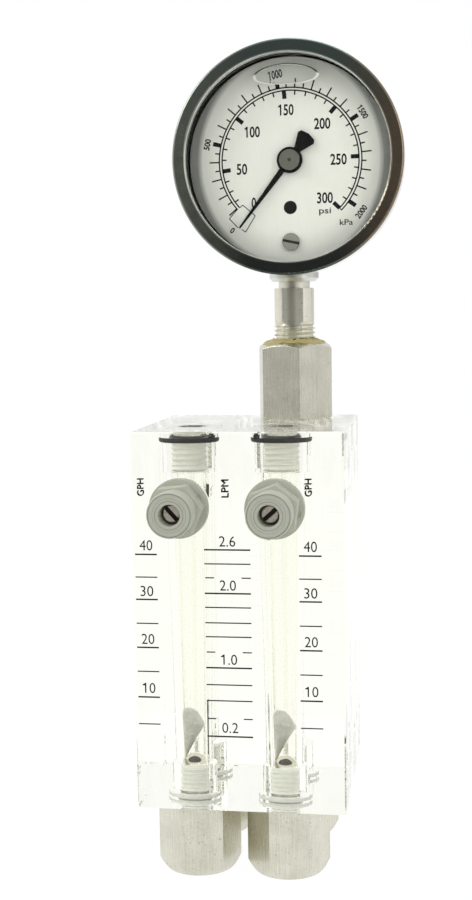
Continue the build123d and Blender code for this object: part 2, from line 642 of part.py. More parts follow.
def arbor_pinion():
    points = []
    first = MESH_ANGLE + 180.0 + 180.0 / PINION_TEETH
    for k in range(PINION_TEETH):
        points += tooth_points(CENTRE, PINION_TEETH, PROFILE_SHIFT, first + 360.0 * k / PINION_TEETH)
    body = sheet(points, GEAR_G - PINION_L / 2, GEAR_G + PINION_L / 2)
    body += disc(CENTRE, ARBOR_D, HAND_G, REAR_PLATE_BACK_G - 0.2)
    body += disc(CENTRE, COLLET_D, HAIRSPRING_G - 0.1, HAIRSPRING_G + HAIRSPRING_W + 0.1)
    return body


def sector():
    pitch = 360.0 / SECTOR_FULL_TEETH
    first = MESH_ANGLE + 2 * pitch
    points = []
    for k in range(SECTOR_TEETH):
        points = tooth_points(PIVOT, SECTOR_FULL_TEETH, -PROFILE_SHIFT, first - k * pitch) + points
    root_r = MODULE * SECTOR_FULL_TEETH / 2 - MODULE * (DEDENDUM + PROFILE_SHIFT)
    a1 = first + pitch * 0.6
    a0 = first - (SECTOR_TEETH - 1) * pitch - pitch * 0.6
    inner = root_r - SECTOR_RIM
    steps = 8
    points = [polar(PIVOT, root_r, a0)] + points + [polar(PIVOT, root_r, a1)]
    points += [polar(PIVOT, inner, a1 + (a0 - a1) * k / steps) for k in range(steps + 1)]
    g0, g1 = GEAR_G - SECTOR_T / 2, GEAR_G + SECTOR_T / 2
    body = sheet(points, g0, g1)
    body += bar(PIVOT, polar(PIVOT, inner + SECTOR_RIM / 4, (a0 + a1) / 2), SECTOR_ARM_W, g0, g1)
    body += bar(PIVOT, TAIL, TAIL_W, g0, g1)
    body += disc(PIVOT, HUB_D, GEAR_G - 1.4, GEAR_G + 1.4)
    body -= disc(PIVOT, STAFF_D, g0 - 5, g1 + 5)
    body -= disc(TAIL, LINK_PIN_D + 2 * PIVOT_CLEAR, g0 - 1, g1 + 1)
    return body


def staff():
    return disc(PIVOT, STAFF_D, FRONT_PLATE_G + 0.2, REAR_PLATE_BACK_G - 0.2)


def link():
    g0 = GEAR_G + SECTOR_T / 2 + LINK_GAP
    g1 = g0 + LINK_T
    body = bar(TAIL, TIP_PIN, LINK_W, g0, g1)
    body -= disc(TIP_PIN, LINK_PIN_D + 2 * PIVOT_CLEAR, g0 - 1, g1 + 1)
    return body + disc(TAIL, LINK_PIN_D, GEAR_G - SECTOR_T / 2 - 0.3, g1)


def bourdon():
    """Pressure tube brazed to its end piece, with the pin for the link."""
    outer = oval_ring(BOURDON_W, BOURDON_T, BOURDON_START, BOURDON_END)
    inner = oval_ring(BOURDON_W - 2 * BOURDON_WALL, BOURDON_T - 2 * BOURDON_WALL,
                      BOURDON_START + 1, BOURDON_END + degrees(TIP_CAP_L / BOURDON_R))
    body = outer - inner
    g0 = GEAR_G + SECTOR_T / 2 + LINK_GAP + LINK_T + LINK_GAP
    end = polar(CENTRE, BOURDON_R, BOURDON_END + degrees(TIP_ARM_W / 2 / BOURDON_R))
    body += bar(end, TIP_PIN, TIP_ARM_W, g0, g0 + TIP_ARM_T) - disc(CENTRE, 2 * TIP_ARM_REACH_R, g0 - 1, g0 + 4)
    body += disc(TIP_PIN, LINK_PIN_D, g0 - LINK_GAP - LINK_T - 0.3, g0 + 0.1)
    return body


def plate(g0, g1):
    """Plate drawn tight round the three pillars and the sector's pivot."""
    rounds = [Pos(*p) * Circle(PLATE_EDGE) for p in PILLARS]
    rounds.append(Pos(*PIVOT) * Circle(PLATE_PIVOT_EDGE))
    back = Plane(origin=(X_RIGHT, g(g1), Z_GAUGE), x_dir=(1, 0, 0), z_dir=(0, -1, 0))
    return extrude(back * make_hull([r.edge() for r in rounds]), g1 - g0)


def front_plate():
    tab = SOCKET_W / 2 - TAB_INSET
    low = -TAB_SCREW_DROP - RIVET_HEAD_D / 2
    body = plate(FRONT_PLATE_G, INSIDE_G)
    body += sheet([(-tab, low), (tab, low), (tab, PIVOT[1]), (-tab, PIVOT[1])], FRONT_PLATE_G, INSIDE_G)
    body += disc(CENTRE, BUSH_D, DIAL_G + DIAL_T, FRONT_PLATE_G)
    body += disc(STUD, STUD_D, INSIDE_G, HAIRSPRING_G + HAIRSPRING_W)
    body -= disc(CENTRE, ARBOR_D + 2 * PIVOT_CLEAR, DIAL_G, INSIDE_G + 1)
    body -= disc(PIVOT, STAFF_D + 2 * PIVOT_CLEAR, FRONT_PLATE_G - 1, INSIDE_G + 1)
    for p in PILLARS:
        body -= disc(p, RIVET_D + 2 * RING_CLEAR, FRONT_PLATE_G - 1, INSIDE_G + 1)
    for side in (-1, 1):
        body -= disc((side * TAB_SCREW_X, -TAB_SCREW_DROP), RIVET_D + 2 * THREAD_CLEAR,
                     FRONT_PLATE_G - 1, INSIDE_G + 1)
    return body


def rear_plate():
    body = plate(REAR_PLATE_G, REAR_PLATE_BACK_G)
    body -= disc(CENTRE, ARBOR_D + 2 * PIVOT_CLEAR, REAR_PLATE_G - 1, REAR_PLATE_BACK_G + 1)
    body -= disc(PIVOT, STAFF_D + 2 * PIVOT_CLEAR, REAR_PLATE_G - 1, REAR_PLATE_BACK_G + 1)
    for p in PILLARS:
        body -= disc(p, RIVET_D + 2 * RING_CLEAR, REAR_PLATE_G - 1, REAR_PLATE_BACK_G + 1)
    return body


def pillar(p):
    body = disc(p, PILLAR_D, INSIDE_G, REAR_PLATE_G)
    body += disc(p, RIVET_D, FRONT_PLATE_G, REAR_PLATE_BACK_G + 0.1)
    return body + disc(p, RIVET_HEAD_D, REAR_PLATE_BACK_G, REAR_PLATE_BACK_G + RIVET_HEAD_T)


def tab_screw(side):
    p = (side * TAB_SCREW_X, -TAB_SCREW_DROP)
    body = disc(p, RIVET_D, FRONT_PLATE_G, SOCKET_G - SOCKET_D / 2 + 2.6)
    body += disc(p, RIVET_HEAD_D, FRONT_PLATE_G - RIVET_HEAD_T, FRONT_PLATE_G)
    slot = Pos(X_RIGHT + p[0], g(FRONT_PLATE_G - RIVET_HEAD_T), Z_GAUGE + p[1]) * Box(RIVET_HEAD_D + 1, 0.5, 0.4)
    return body - slot


def dial():
    body = disc(CENTRE, 2 * DIAL_R, DIAL_G, DIAL_G + DIAL_T)
    body -= disc(CENTRE, DIAL_HOLE_D, DIAL_G - 1, DIAL_G + DIAL_T + 1)
    return body - disc((0, -DIAL_SCREW_DROP), DIAL_SCREW_D + 2 * THREAD_CLEAR, DIAL_G - 1, DIAL_G + DIAL_T + 1)


def dial_screw():
    p = (0, -DIAL_SCREW_DROP)
    body = disc(p, DIAL_SCREW_D, DIAL_G - 0.1, SOCKET_G - SOCKET_D / 2 + 2.2)
    body += disc(p, DIAL_SCREW_HEAD_D, DIAL_G - DIAL_SCREW_HEAD_T, DIAL_G)
    place = Pos(X_RIGHT, g(DIAL_G - DIAL_SCREW_HEAD_T), Z_GAUGE - DIAL_SCREW_DROP)
    return body - place * Rot(0, 12, 0) * Box(DIAL_SCREW_HEAD_D + 1, 0.9, 0.8)


HAND_G = DIAL_G - HAND_LIFT - HAND_T - HAND_CAP_T + 0.2
BLADE_G = DIAL_G - HAND_LIFT - HAND_T
HAIRSPRING_G = INSIDE_G + 0.6
STUD = polar(CENTRE, HAIRSPRING_R1 + HAIRSPRING_T / 2 + STUD_D / 2, 0)


def hand():
    """Tapered blade with a fan tail and a round hub."""
    tip = polar(CENTRE, HAND_L, HAND_ANGLE)
    back = HAND_ANGLE + 180.0
    spread = degrees(atan2(HAND_TAIL_W / 2, HAND_TAIL_L))
    side = HAND_ANGLE + 90.0
    waist_r = HAND_HUB_D / 2 + 0.3
    waist = degrees(asin(HAND_WAIST_W / 2 / waist_r))
    points = [polar(CENTRE, HAND_W / 2, side), polar(tip, HAND_TIP_W / 2, side),
              polar(tip, HAND_TIP_W / 2, side + 180), polar(CENTRE, HAND_W / 2, side + 180),
              polar(CENTRE, waist_r, back + waist), polar(CENTRE, HAND_TAIL_L * 0.9, back + spread),
              polar(CENTRE, HAND_TAIL_L * 0.98, back + spread * 0.75), polar(CENTRE, HAND_TAIL_L, back),
              polar(CENTRE, HAND_TAIL_L * 0.98, back - spread * 0.75),
              polar(CENTRE, HAND_TAIL_L * 0.9, back - spread), polar(CENTRE, waist_r, back - waist)]
    body = sheet(points, BLADE_G, BLADE_G + HAND_T)
    body += disc(CENTRE, HAND_HUB_D, BLADE_G, BLADE_G + HAND_T)
    return body - disc(CENTRE, HAND_TUBE_D, BLADE_G - 1, BLADE_G + 1)


def hand_cap():
    """Hub cap with the tube that grips the arbor."""
    body = disc(CENTRE, HAND_CAP_D, BLADE_G - HAND_CAP_T, BLADE_G)
    body += disc(CENTRE, HAND_TUBE_D, BLADE_G - HAND_CAP_T, DIAL_G - 0.3)
    return body - disc(CENTRE, ARBOR_D, HAND_G, DIAL_G + 1)


def hairspring():
    steps = HAIRSPRING_TURNS * 24
    outer, inner = [], []
    for k in range(steps + 1):
        r = HAIRSPRING_R0 + (HAIRSPRING_R1 - HAIRSPRING_R0) * k / steps
        a = 360.0 * HAIRSPRING_TURNS * k / steps
        outer.append(polar(CENTRE, r + HAIRSPRING_T / 2, a))
        inner.append(polar(CENTRE, r - HAIRSPRING_T / 2, a))
    back = Plane(origin=(X_RIGHT, g(HAIRSPRING_G + HAIRSPRING_W), Z_GAUGE), x_dir=(1, 0, 0), z_dir=(0, -1, 0))
    edge = Spline(*outer) + Line(outer[-1], inner[-1]) + Spline(*reversed(inner)) + Line(inner[0], outer[0])
    return extrude(back * make_face(edge), HAIRSPRING_W)


def sealant():
    """Bead of thread sealant on the coupling's mouth."""
    z0 = Z_TOP + FITTING_L
    r = STEM_ROUND_D / 2 + RING_CLEAR
    return turned_z(X_RIGHT, Y_REAR, z0, [
        (r, 0), (SEALANT_D / 2, 0), (SEALANT_D / 2 - 0.6, SEALANT_H * 0.45), (r + 0.8, SEALANT_H), (r, SEALANT_H)])


def main():
    os.makedirs("parts", exist_ok=True)
    save(block(), "meter_block")
    for name, x, y, turn in (("front_left", X_LEFT, Y_FRONT, FITTING_TURN_FRONT_LEFT),
                             ("front_right", X_RIGHT, Y_FRONT, FITTING_TURN_FRONT_RIGHT),
                             ("rear_left", X_LEFT, Y_REAR, FITTING_TURN_REAR),
                             ("rear_right", X_RIGHT, Y_REAR, FITTING_TURN_REAR)):
        save(Pos(x, y, Z_BASE) * fitting(turn), "port_fitting_" + name)
        save(Pos(x, y, Z_BASE + PORT_RING_SEAT_H / 2) * o_ring(PORT_RING_OD, PORT_RING_S), "port_oring_" + name)
    save(Pos(X_RIGHT, Y_REAR, Z_TOP) * Rot(180, 0, 0) * fitting(
        COUPLING_TURN, COUPLING_MOUTH_D, COUPLING_MOUTH_CHAMFER), "gauge_coupling")
    save(Pos(X_RIGHT, Y_REAR, Z_TOP - PORT_RING_SEAT_H / 2) * o_ring(PORT_RING_OD, PORT_RING_S), "coupling_oring")
    save(sealant(), "thread_sealant")

    for side, x, turn, slot in (("left", X_LEFT, BONNET_TURN_LEFT, SLOT_TURN_LEFT),
                                ("right", X_RIGHT, BONNET_TURN_RIGHT, SLOT_TURN_RIGHT)):
        save(Pos(x, Y_FRONT, Z_TOP) * top_plug(), "top_plug_" + side)
        save(Pos(x, Y_FRONT, Z_TOP - PLUG_HEAD_T - PLUG_RING_S / 2 - RING_CLEAR / 2)
             * o_ring(PLUG_HEAD_D, PLUG_RING_S), "plug_oring_" + side)
        save(resting_float(x), "float_" + side)
        save(bonnet(x, turn), "valve_bonnet_" + side)
        save(at_valve(x, PORT_RING_SEAT_H / 2) * Rot(90, 0, 0) * o_ring(PORT_RING_OD, PORT_RING_S),
             "bonnet_oring_" + side)
        save(spindle(x, slot), "valve_spindle_" + side)
        save(at_valve(x, RING_MIDDLE) * Rot(90, 0, 0) * o_ring(COLLAR_D, SPINDLE_RING_S), "spindle_oring_" + side)

    save(socket(), "gauge_socket")
    save(boss(), "case_boss")
    save(case(), "gauge_case")
    save(fill_plug(), "fill_plug")
    save(bezel(), "bezel_ring")
    save(window(), "gauge_window")
    save(gasket(), "window_gasket")
    save(dial(), "dial")
    save(dial_screw(), "dial_screw")
    save(hand(), "gauge_hand")
    save(hand_cap(), "hand_cap")
    save(arbor_pinion(), "arbor_pinion")
    save(hairspring(), "hairspring")
    save(sector(), "sector_gear")
    save(staff(), "sector_staff")
    save(link(), "tip_link")
    save(bourdon(), "bourdon_tube")
    save(front_plate(), "movement_front_plate")
    save(rear_plate(), "movement_rear_plate")
    for k, p in enumerate(PILLARS):
        save(pillar(p), "movement_pillar_" + "abc"[k])
    save(tab_screw(-1), "movement_screw_left")
    save(tab_screw(1), "movement_screw_right")


main()
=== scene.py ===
"""Looks of the dual flow meter: clear block, steel fittings, grey needle
valves, cone floats and the liquid filled pressure gauge."""
import json
from math import atan2, cos, hypot, radians, sin, tau

import bmesh
import bpy
from mathutils import Matrix, Vector, noise


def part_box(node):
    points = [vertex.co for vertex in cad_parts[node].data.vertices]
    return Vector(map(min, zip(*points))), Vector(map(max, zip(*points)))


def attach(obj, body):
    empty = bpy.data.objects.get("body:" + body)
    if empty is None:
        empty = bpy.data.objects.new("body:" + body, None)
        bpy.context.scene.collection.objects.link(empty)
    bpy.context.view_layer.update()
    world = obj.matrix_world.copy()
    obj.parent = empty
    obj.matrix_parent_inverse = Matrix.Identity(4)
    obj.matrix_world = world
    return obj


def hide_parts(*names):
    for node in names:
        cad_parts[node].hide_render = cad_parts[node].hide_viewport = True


MM = 0.001

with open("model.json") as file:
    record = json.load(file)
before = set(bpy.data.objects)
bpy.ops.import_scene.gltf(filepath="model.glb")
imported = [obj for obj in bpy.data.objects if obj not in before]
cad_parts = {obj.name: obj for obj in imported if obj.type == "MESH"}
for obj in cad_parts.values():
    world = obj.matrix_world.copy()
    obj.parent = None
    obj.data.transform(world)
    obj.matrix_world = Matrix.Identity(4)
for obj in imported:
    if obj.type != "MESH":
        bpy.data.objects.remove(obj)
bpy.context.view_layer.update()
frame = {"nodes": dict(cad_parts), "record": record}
nodes = frame["nodes"]


def middle_of(node, axis):
    """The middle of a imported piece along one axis."""
    low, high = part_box(node)
    return (low[axis] + high[axis]) / 2


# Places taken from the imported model
block_low, block_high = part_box("meter_block")
BLOCK_FACE, Z_BASE, Z_TOP = block_low.y, block_low.z, block_high.z
X_LEFT, X_RIGHT = middle_of("top_plug_left", 0), middle_of("top_plug_right", 0)
Y_FRONT, Y_REAR = middle_of("top_plug_left", 1), middle_of("coupling_oring", 1)
Z_VALVE, Z_GAUGE = middle_of("valve_bonnet_left", 2), middle_of("dial", 2)
DIAL_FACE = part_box("dial")[0].y
DIAL_MIDDLE = Vector((X_RIGHT, DIAL_FACE, Z_GAUGE))
RING_MIDDLE = Vector((X_RIGHT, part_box("bezel_ring")[0].y, Z_GAUGE))

# The spindles' heads stand this much further back than those of the solids
HEAD_SET_BACK = 1.6 * MM

# Turns what lies flat, so that it stands and faces the front
STANDING = Matrix.Rotation(radians(90), 4, "X")


# Camera, fitted to the photograph

CAMERA_AT = Vector((50.6, -403.9, 165.3)) * MM
CAMERA_YAW, CAMERA_PITCH, CAMERA_ROLL = 0.152, 0.099, -0.016
FOCAL_PIXELS, PHOTO_HEIGHT, SENSOR = 1395.8, 900, 36.0


def make_camera():
    level = cos(CAMERA_PITCH)
    ahead = Vector((-sin(CAMERA_YAW) * level, cos(CAMERA_YAW) * level, -sin(CAMERA_PITCH)))
    right = Vector((cos(CAMERA_YAW), sin(CAMERA_YAW), 0))
    up = right.cross(ahead)
    turn = Matrix.Rotation(-CAMERA_ROLL, 3, ahead)
    right, up = turn @ right, turn @ up
    data = bpy.data.cameras.new("camera")
    data.sensor_width = SENSOR
    data.lens = FOCAL_PIXELS / PHOTO_HEIGHT * SENSOR
    data.clip_start, data.clip_end = 0.01, 20
    camera = bpy.data.objects.new("camera", data)
    axes = Matrix((right, up, -ahead)).transposed().to_4x4()
    camera.matrix_world = Matrix.Translation(CAMERA_AT) @ axes
    bpy.context.scene.collection.objects.link(camera)
    bpy.context.scene.camera = camera


# Shaders

class Wire:
    """An output of a shader node. Arithmetic on it adds Math nodes."""

    def __init__(self, graph, out):
        self.graph = graph
        self.out = out

    def math(self, operation, *values, clamp=False):
        settings = {"operation": operation, "use_clamp": clamp}
        return self.graph.wire("ShaderNodeMath", settings, dict(enumerate(values)))

    def __add__(self, other):
        return self.math("ADD", self, other)

    def __radd__(self, other):
        return self.math("ADD", other, self)

    def __sub__(self, other):
        return self.math("SUBTRACT", self, other)

    def __rsub__(self, other):
        return self.math("SUBTRACT", other, self)

    def __mul__(self, other):
        return self.math("MULTIPLY", self, other)

    def __rmul__(self, other):
        return self.math("MULTIPLY", other, self)

    def __truediv__(self, other):
        return self.math("DIVIDE", self, other)

    def __lt__(self, other):
        return self.math("LESS_THAN", self, other)

    def sine(self):
        return self.math("SINE", self)

    def root(self):
        return self.math("SQRT", self)

    def angle(self, other):
        return self.math("ARCTAN2", self, other)

    def clamped(self):
        return self.math("ADD", self, 0.0, clamp=True)

    def past(self, edge, steepness):
        """0 up to an edge, and from there a ramp to 1."""
        return ((self - edge) * steepness).clamped()


class Graph:
    """A node tree with one method for every node."""

    def __init__(self, tree):
        self.tree = tree
        tree.nodes.clear()

    def feed(self, socket, value):
        if isinstance(value, Wire):
            self.tree.links.new(value.out, socket)
        else:
            socket.default_value = value

    def node(self, kind, settings=None, inputs=None):
        """Adds a node. Its settings come first, because sockets can depend on them."""
        made = self.tree.nodes.new(kind)
        for name, value in (settings or {}).items():
            setattr(made, name, value)
        for name, value in (inputs or {}).items():
            self.feed(made.inputs[name], value)
        return made

    def wire(self, kind, settings=None, inputs=None, output=0):
        return Wire(self, self.node(kind, settings, inputs).outputs[output])

    def rays(self, *kinds):
        """One mask for each kind of ray, such as Camera or Glossy."""
        path = self.node("ShaderNodeLightPath")
        return [Wire(self, path.outputs["Is " + kind + " Ray"]) for kind in kinds]

    def axes(self, vector):
        split = self.node("ShaderNodeSeparateXYZ", None, {"Vector": vector})
        return [Wire(self, out) for out in split.outputs]

    def mixed(self, factor, a, b):
        """Mix of two colours."""
        return self.wire("ShaderNodeMix", {"data_type": "RGBA"}, {0: factor, 6: a, 7: b}, output=2)


class Finish(Graph):
    """A material: one Principled shader and what feeds it."""

    def __init__(self, name, **settings):
        self.material = bpy.data.materials.new(name)
        self.material.use_nodes = True
        super().__init__(self.material.node_tree)
        self.shader = self.wire("ShaderNodeBsdfPrincipled")
        self.output = self.node("ShaderNodeOutputMaterial", None, {"Surface": self.shader})
        for socket, value in settings.items():
            self.set(socket.replace("_", " "), value)

    def set(self, socket, value):
        self.feed(self.shader.out.node.inputs[socket], value)

    def place(self, centre=(0, 0, 0), scale=(1, 1, 1)):
        """Object coordinates in millimetres about a point given in metres."""
        spot = self.wire("ShaderNodeTexCoord", output="Object")
        moved = self.wire("ShaderNodeVectorMath", {"operation": "SUBTRACT"}, {0: spot, 1: tuple(centre)})
        return self.wire("ShaderNodeVectorMath", {"operation": "MULTIPLY"}, {
            0: moved, 1: tuple(s / MM for s in scale)})

    def round_place(self, centre):
        """Place about an axis that points to the front, and the distance from that axis."""
        x, y, z = self.axes(self.place(centre))
        return x, y, z, (x * x + z * z).root()

    def depth_behind(self, front):
        """Millimetres behind a plane that faces the front."""
        return self.axes(self.place((0, front, 0)))[1]

    def grain(self, vector, scale, detail=3.0, rough=0.6):
        return self.wire("ShaderNodeTexNoise", None, {
            "Vector": vector, "Scale": scale, "Detail": detail, "Roughness": rough})

    def look(self, colour, roughness, height=None, strength=0.0, depth=0.0):
        """Sets what changes over the surface. The depth of the relief is in millimetres."""
        self.set("Base Color", colour)
        self.set("Roughness", roughness)
        if height is not None:
            self.set("Normal", self.wire("ShaderNodeBump", None, {
                "Height": height, "Strength": strength, "Distance": depth * MM}))
        return self.material

    def give_way(self, factor, other):
        """Another shader takes over where the factor is 1."""
        mix = self.wire("ShaderNodeMixShader", None, {0: factor, 1: self.shader, 2: other})
        self.feed(self.output.inputs["Surface"], mix)


def clear(name, colour, bending, shade):
    """A clear finish. Lamp rays pass straight through it, so what stands behind it is lit."""
    made = Finish(name, Base_Color=colour, Roughness=0.0, IOR=bending, Transmission_Weight=1.0)
    made.give_way(made.rays("Shadow")[0], made.wire("ShaderNodeBsdfTransparent", None, {"Color": shade}))
    return made.material


def plain(name, size, dark, light, roughness, relief, stretch=(1, 1, 1), detail=3.0, rough=0.6, **settings):
    """One noise moves the colour, the roughness (least, spread) and the surface (strength, depth)."""
    made = Finish(name, **settings)
    fine = made.grain(made.place(scale=stretch), size, detail, rough)
    return made.look(made.mixed(fine, dark, light), roughness[0] + fine * roughness[1], fine, *relief)


def satin_steel():
    """Drawn hexagon bar: fine lines along the bar, scratches, stains and small pits."""
    made = Finish("satin_steel", Metallic=1.0)
    lines = made.grain(made.place(scale=(1, 1, 0.05)), 3.4, 4.0, 0.7)
    streaks = made.grain(made.place(scale=(1.4, 1.4, 0.03)), 2.2, 4.0, 0.75)
    cloud = made.grain(made.place(), 0.13)
    pit = made.grain(made.place(), 2.1, 2.0, 0.5).past(0.675, 13.0)
    nick = made.grain(made.place(scale=(0.25, 0.25, 1.6)), 2.4, 2.0, 0.5).past(0.66, 14.0)
    tone = ((lines * 0.35 + cloud * 0.45 + streaks * 0.55 - 0.68) * 1.8 + 0.60).clamped()
    colour = made.mixed(tone, (0.46, 0.445, 0.355, 1), (0.80, 0.785, 0.68, 1))
    colour = made.mixed(nick * 0.5, colour, (0.32, 0.30, 0.24, 1))
    colour = made.mixed(pit, colour, (0.24, 0.215, 0.165, 1))
    return made.look(colour, 0.20 + lines * 0.14 + pit * 0.3, lines - pit * 1.6 - nick, 0.3, 0.04)


def bright_steel():
    """Turned stainless with faint rings and handling marks."""
    made = Finish("bright_steel", Metallic=1.0)
    rings = made.grain(made.place(scale=(0.05, 0.05, 1)), 4.0)
    cloud = made.grain(made.place(), 0.35)
    colour = made.mixed(cloud, (0.66, 0.645, 0.58, 1), (0.88, 0.875, 0.83, 1))
    return made.look(colour, 0.20 + rings * 0.16, rings, 0.15, 0.03)


def stem_steel():
    """The stem's milled flats: strokes up and down, a painted dark line of shade down their middle, and brown
    spots.
    """
    middle = Vector((X_RIGHT, Y_REAR, Z_GAUGE - 43 * MM))
    made = Finish("stem_steel", Metallic=1.0)
    x, y, z = made.axes(made.place(middle))
    strokes = made.grain(made.place(middle, (1, 1, 0.05)), 4.6, 4.0, 0.7)
    cloud = made.grain(made.place(middle), 0.5)
    spot = made.grain(made.place(middle), 1.1).past(0.64, 9.0)
    off_line = ((x + 0.35) * (x + 0.35)).root()
    # Painted shade: a dark line down the middle of the flats.
    painted_shade_line = (1.15 - off_line * 0.85 + strokes * 0.5).clamped() * ((7.6 + z) * 1.2).clamped()
    colour = made.mixed(strokes * 0.6 + cloud * 0.4, (0.66, 0.645, 0.53, 1), (0.93, 0.915, 0.81, 1))
    colour = made.mixed(painted_shade_line * 0.5, colour, (0.20, 0.185, 0.135, 1))
    colour = made.mixed(spot * 0.7, colour, (0.22, 0.15, 0.09, 1))
    return made.look(colour, 0.36 + strokes * 0.16, strokes, 0.3, 0.04)


def polished_ring():
    """Painted dark reflection on the face of the ring, darker below, with painted reflections grey at the
    left and brown at the right; bright edges and a lighter skirt.
    """
    made = Finish("polished_ring", Metallic=1.0)
    x, y, z, radius = made.round_place(RING_MIDDLE)
    cloud = made.grain(made.place(), 0.35, 4.0, 0.65)
    specks = made.grain(made.place(), 5.0, 2.0, 0.5).past(0.70, 20.0)
    # Painted reflections on the face: dark, darker below, lighter grey at the left and brown at the right.
    painted_dark_below = (0.5 - z * 0.016).clamped()
    right = (x * 0.06 - 0.9).clamped() * (0.3 + cloud)
    left = (-0.6 - x * 0.05).clamped() * (0.3 + cloud)
    face = made.mixed(painted_dark_below, (0.19, 0.24, 0.22, 1), (0.08, 0.092, 0.082, 1))
    face = made.mixed(left, face, (0.40, 0.415, 0.35, 1))
    face = made.mixed(right, face, (0.33, 0.25, 0.17, 1))
    face = made.mixed(specks * 0.6, face, (0.55, 0.55, 0.53, 1))
    inner_bevel = ((30.78 - radius) * 8.0).clamped()
    edge = (y.past(1.2, 3.0) + inner_bevel).clamped()
    colour = made.mixed(edge, face, (0.80, 0.80, 0.76, 1))
    waves = made.grain(made.place(), 0.9, 2.0, 0.5)
    return made.look(colour, 0.12 + cloud * 0.08 + specks * 0.2, waves, 0.06, 0.2)


def case_steel():
    """Drawn stainless case, brushed round its axis."""
    made = Finish("case_steel", Metallic=1.0)
    x, y, z, radius = made.round_place(RING_MIDDLE)
    around = made.wire("ShaderNodeCombineXYZ", None, {"X": radius * 6.0, "Y": y * 6.0, "Z": z.angle(x) * 1.5})
    lines = made.grain(around, 1.0, 4.0, 0.65)
    cloud = made.grain(made.place(), 0.1)
    colour = made.mixed(cloud, (0.60, 0.60, 0.57, 1), (0.76, 0.76, 0.73, 1))
    return made.look(colour, 0.24 + lines * 0.12, lines, 0.15, 0.03)


def grey_plastic():
    """Moulded filled plastic with a faint flow texture."""
    made = Finish("grey_plastic", Specular_IOR_Level=0.42)
    fine = made.grain(made.place(), 6.0)
    cloud = made.grain(made.place(), 0.25, 3.0, 0.55)
    tone = (fine * 0.35 + cloud * 0.65).clamped()
    colour = made.mixed(tone, (0.48, 0.495, 0.405, 1), (0.59, 0.605, 0.51, 1))
    return made.look(colour, 0.42 + fine * 0.16, fine, 0.25, 0.05)


def float_metal():
    """Brushed float, streaked from its point upwards."""
    made = Finish("float_metal", Metallic=0.85)
    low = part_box("float_left")[0]
    lines = made.grain(made.place(low, (1, 1, 0.06)), 5.0, 4.0, 0.7)
    cloud = made.grain(made.place(low), 0.3)
    tone = ((lines * 0.7 + cloud * 0.3 - 0.5) * 3.0 + 0.5).clamped()
    colour = made.mixed(tone, (0.30, 0.30, 0.275, 1), (0.82, 0.82, 0.78, 1))
    return made.look(colour, 0.36 + lines * 0.16, lines, 0.3, 0.04)


def spindle_metal():
    """Plated screw, stained brown at its rim, with painted shade in its slot."""
    made = Finish("spindle_metal", Metallic=0.35)
    spots = made.grain(made.place(), 1.5, 4.0, 0.7)
    # Painted shade: darker with depth behind the head's front, which fills the slot.
    slot = made.depth_behind(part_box("valve_spindle_left")[0].y + HEAD_SET_BACK).past(0.25, 5.0)
    colour = made.mixed(spots.past(0.55, 7.0), (0.93, 0.86, 0.76, 1), (0.34, 0.24, 0.16, 1))
    colour = made.mixed(slot, colour, (0.035, 0.028, 0.020, 1))
    return made.look(colour, 0.34 + spots * 0.3, spots, 0.4, 0.1)


def dial_white():
    """Painted plate, with painted shade that grows towards its edge and is darkest at its sides."""
    made = Finish("dial_white", Specular_IOR_Level=0.06)
    x, y, z, radius = made.round_place(DIAL_MIDDLE)
    fine = made.grain(made.place(scale=(1, 1, 0.08)), 2.6)
    half_width, half_height = 26.7, 30.4
    oval = (x * x * (1 / half_width ** 2) + z * z * (1 / half_height ** 2)).root()
    colour = made.mixed(fine, (0.80, 0.805, 0.72, 1), (0.90, 0.905, 0.82, 1))
    # Painted shade, from 22 mm out towards the edge.
    colour = made.mixed(radius.past(22.0, 0.085) * 0.55, colour, (0.46, 0.475, 0.45, 1))
    # Painted shade beyond the oval, which the dial reaches at its sides.
    colour = made.mixed(oval.past(1.0, 16.0) * 0.8, colour, (0.15, 0.155, 0.14, 1))
    return made.look(colour, 0.42 + fine * 0.12, fine, 0.05, 0.03)


def turned_cap():
    """Grey cap with the rings that the tool left, and a dark dot."""
    made = Finish("turned_cap", Metallic=0.55)
    x, y, z, radius = made.round_place(DIAL_MIDDLE)
    rings = (radius * 20.0).sine() * 0.5 + 0.5
    colour = made.mixed(rings, (0.095, 0.10, 0.078, 1), (0.165, 0.172, 0.135, 1))
    colour = made.mixed(radius < 0.55, colour, (0.035, 0.035, 0.030, 1))
    return made.look(colour, 0.34 + rings * 0.1, rings, 0.2, 0.03)


def dial_screw_metal():
    """Dull screw in the dial, with painted shade in its slot."""
    made = Finish("dial_screw_metal", Metallic=0.4)
    cloud = made.grain(made.place(), 2.0)
    # Painted shade: darker with depth behind the screw's front, which fills the slot.
    slot = made.depth_behind(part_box("dial_screw")[0].y).past(0.2, 6.0)
    colour = made.mixed(cloud, (0.22, 0.225, 0.18, 1), (0.34, 0.345, 0.29, 1))
    colour = made.mixed(slot, colour, (0.02, 0.02, 0.018, 1))
    return made.look(colour, 0.4 + cloud * 0.2, cloud, 0.2, 0.04)


def ink(name, shade):
    made = Finish(name, Specular_IOR_Level=0.1)
    fine = made.grain(made.place(), 9.0)
    dark, light = [(grey, grey, grey, 1) for grey in (shade * 0.6, shade * 1.5)]
    return made.look(made.mixed(fine, dark, light), 0.5 + fine * 0.2)


def bubble_edge():
    """Where the liquid climbs the glass round the bubble: a painted dark outline above and a painted
    highlight below, for the light that the edge bends.
    """
    made = Finish("bubble_edge")
    z = made.axes(made.place((0, 0, BUBBLE_Z)))[2]
    # Painted light: a dark outline above, a highlight below.
    under = (0.5 - z * 1.5).clamped()
    return made.look(made.mixed(under, (0.05, 0.052, 0.048, 1), (0.90, 0.90, 0.86, 1)), 0.3 + under * 0.2)


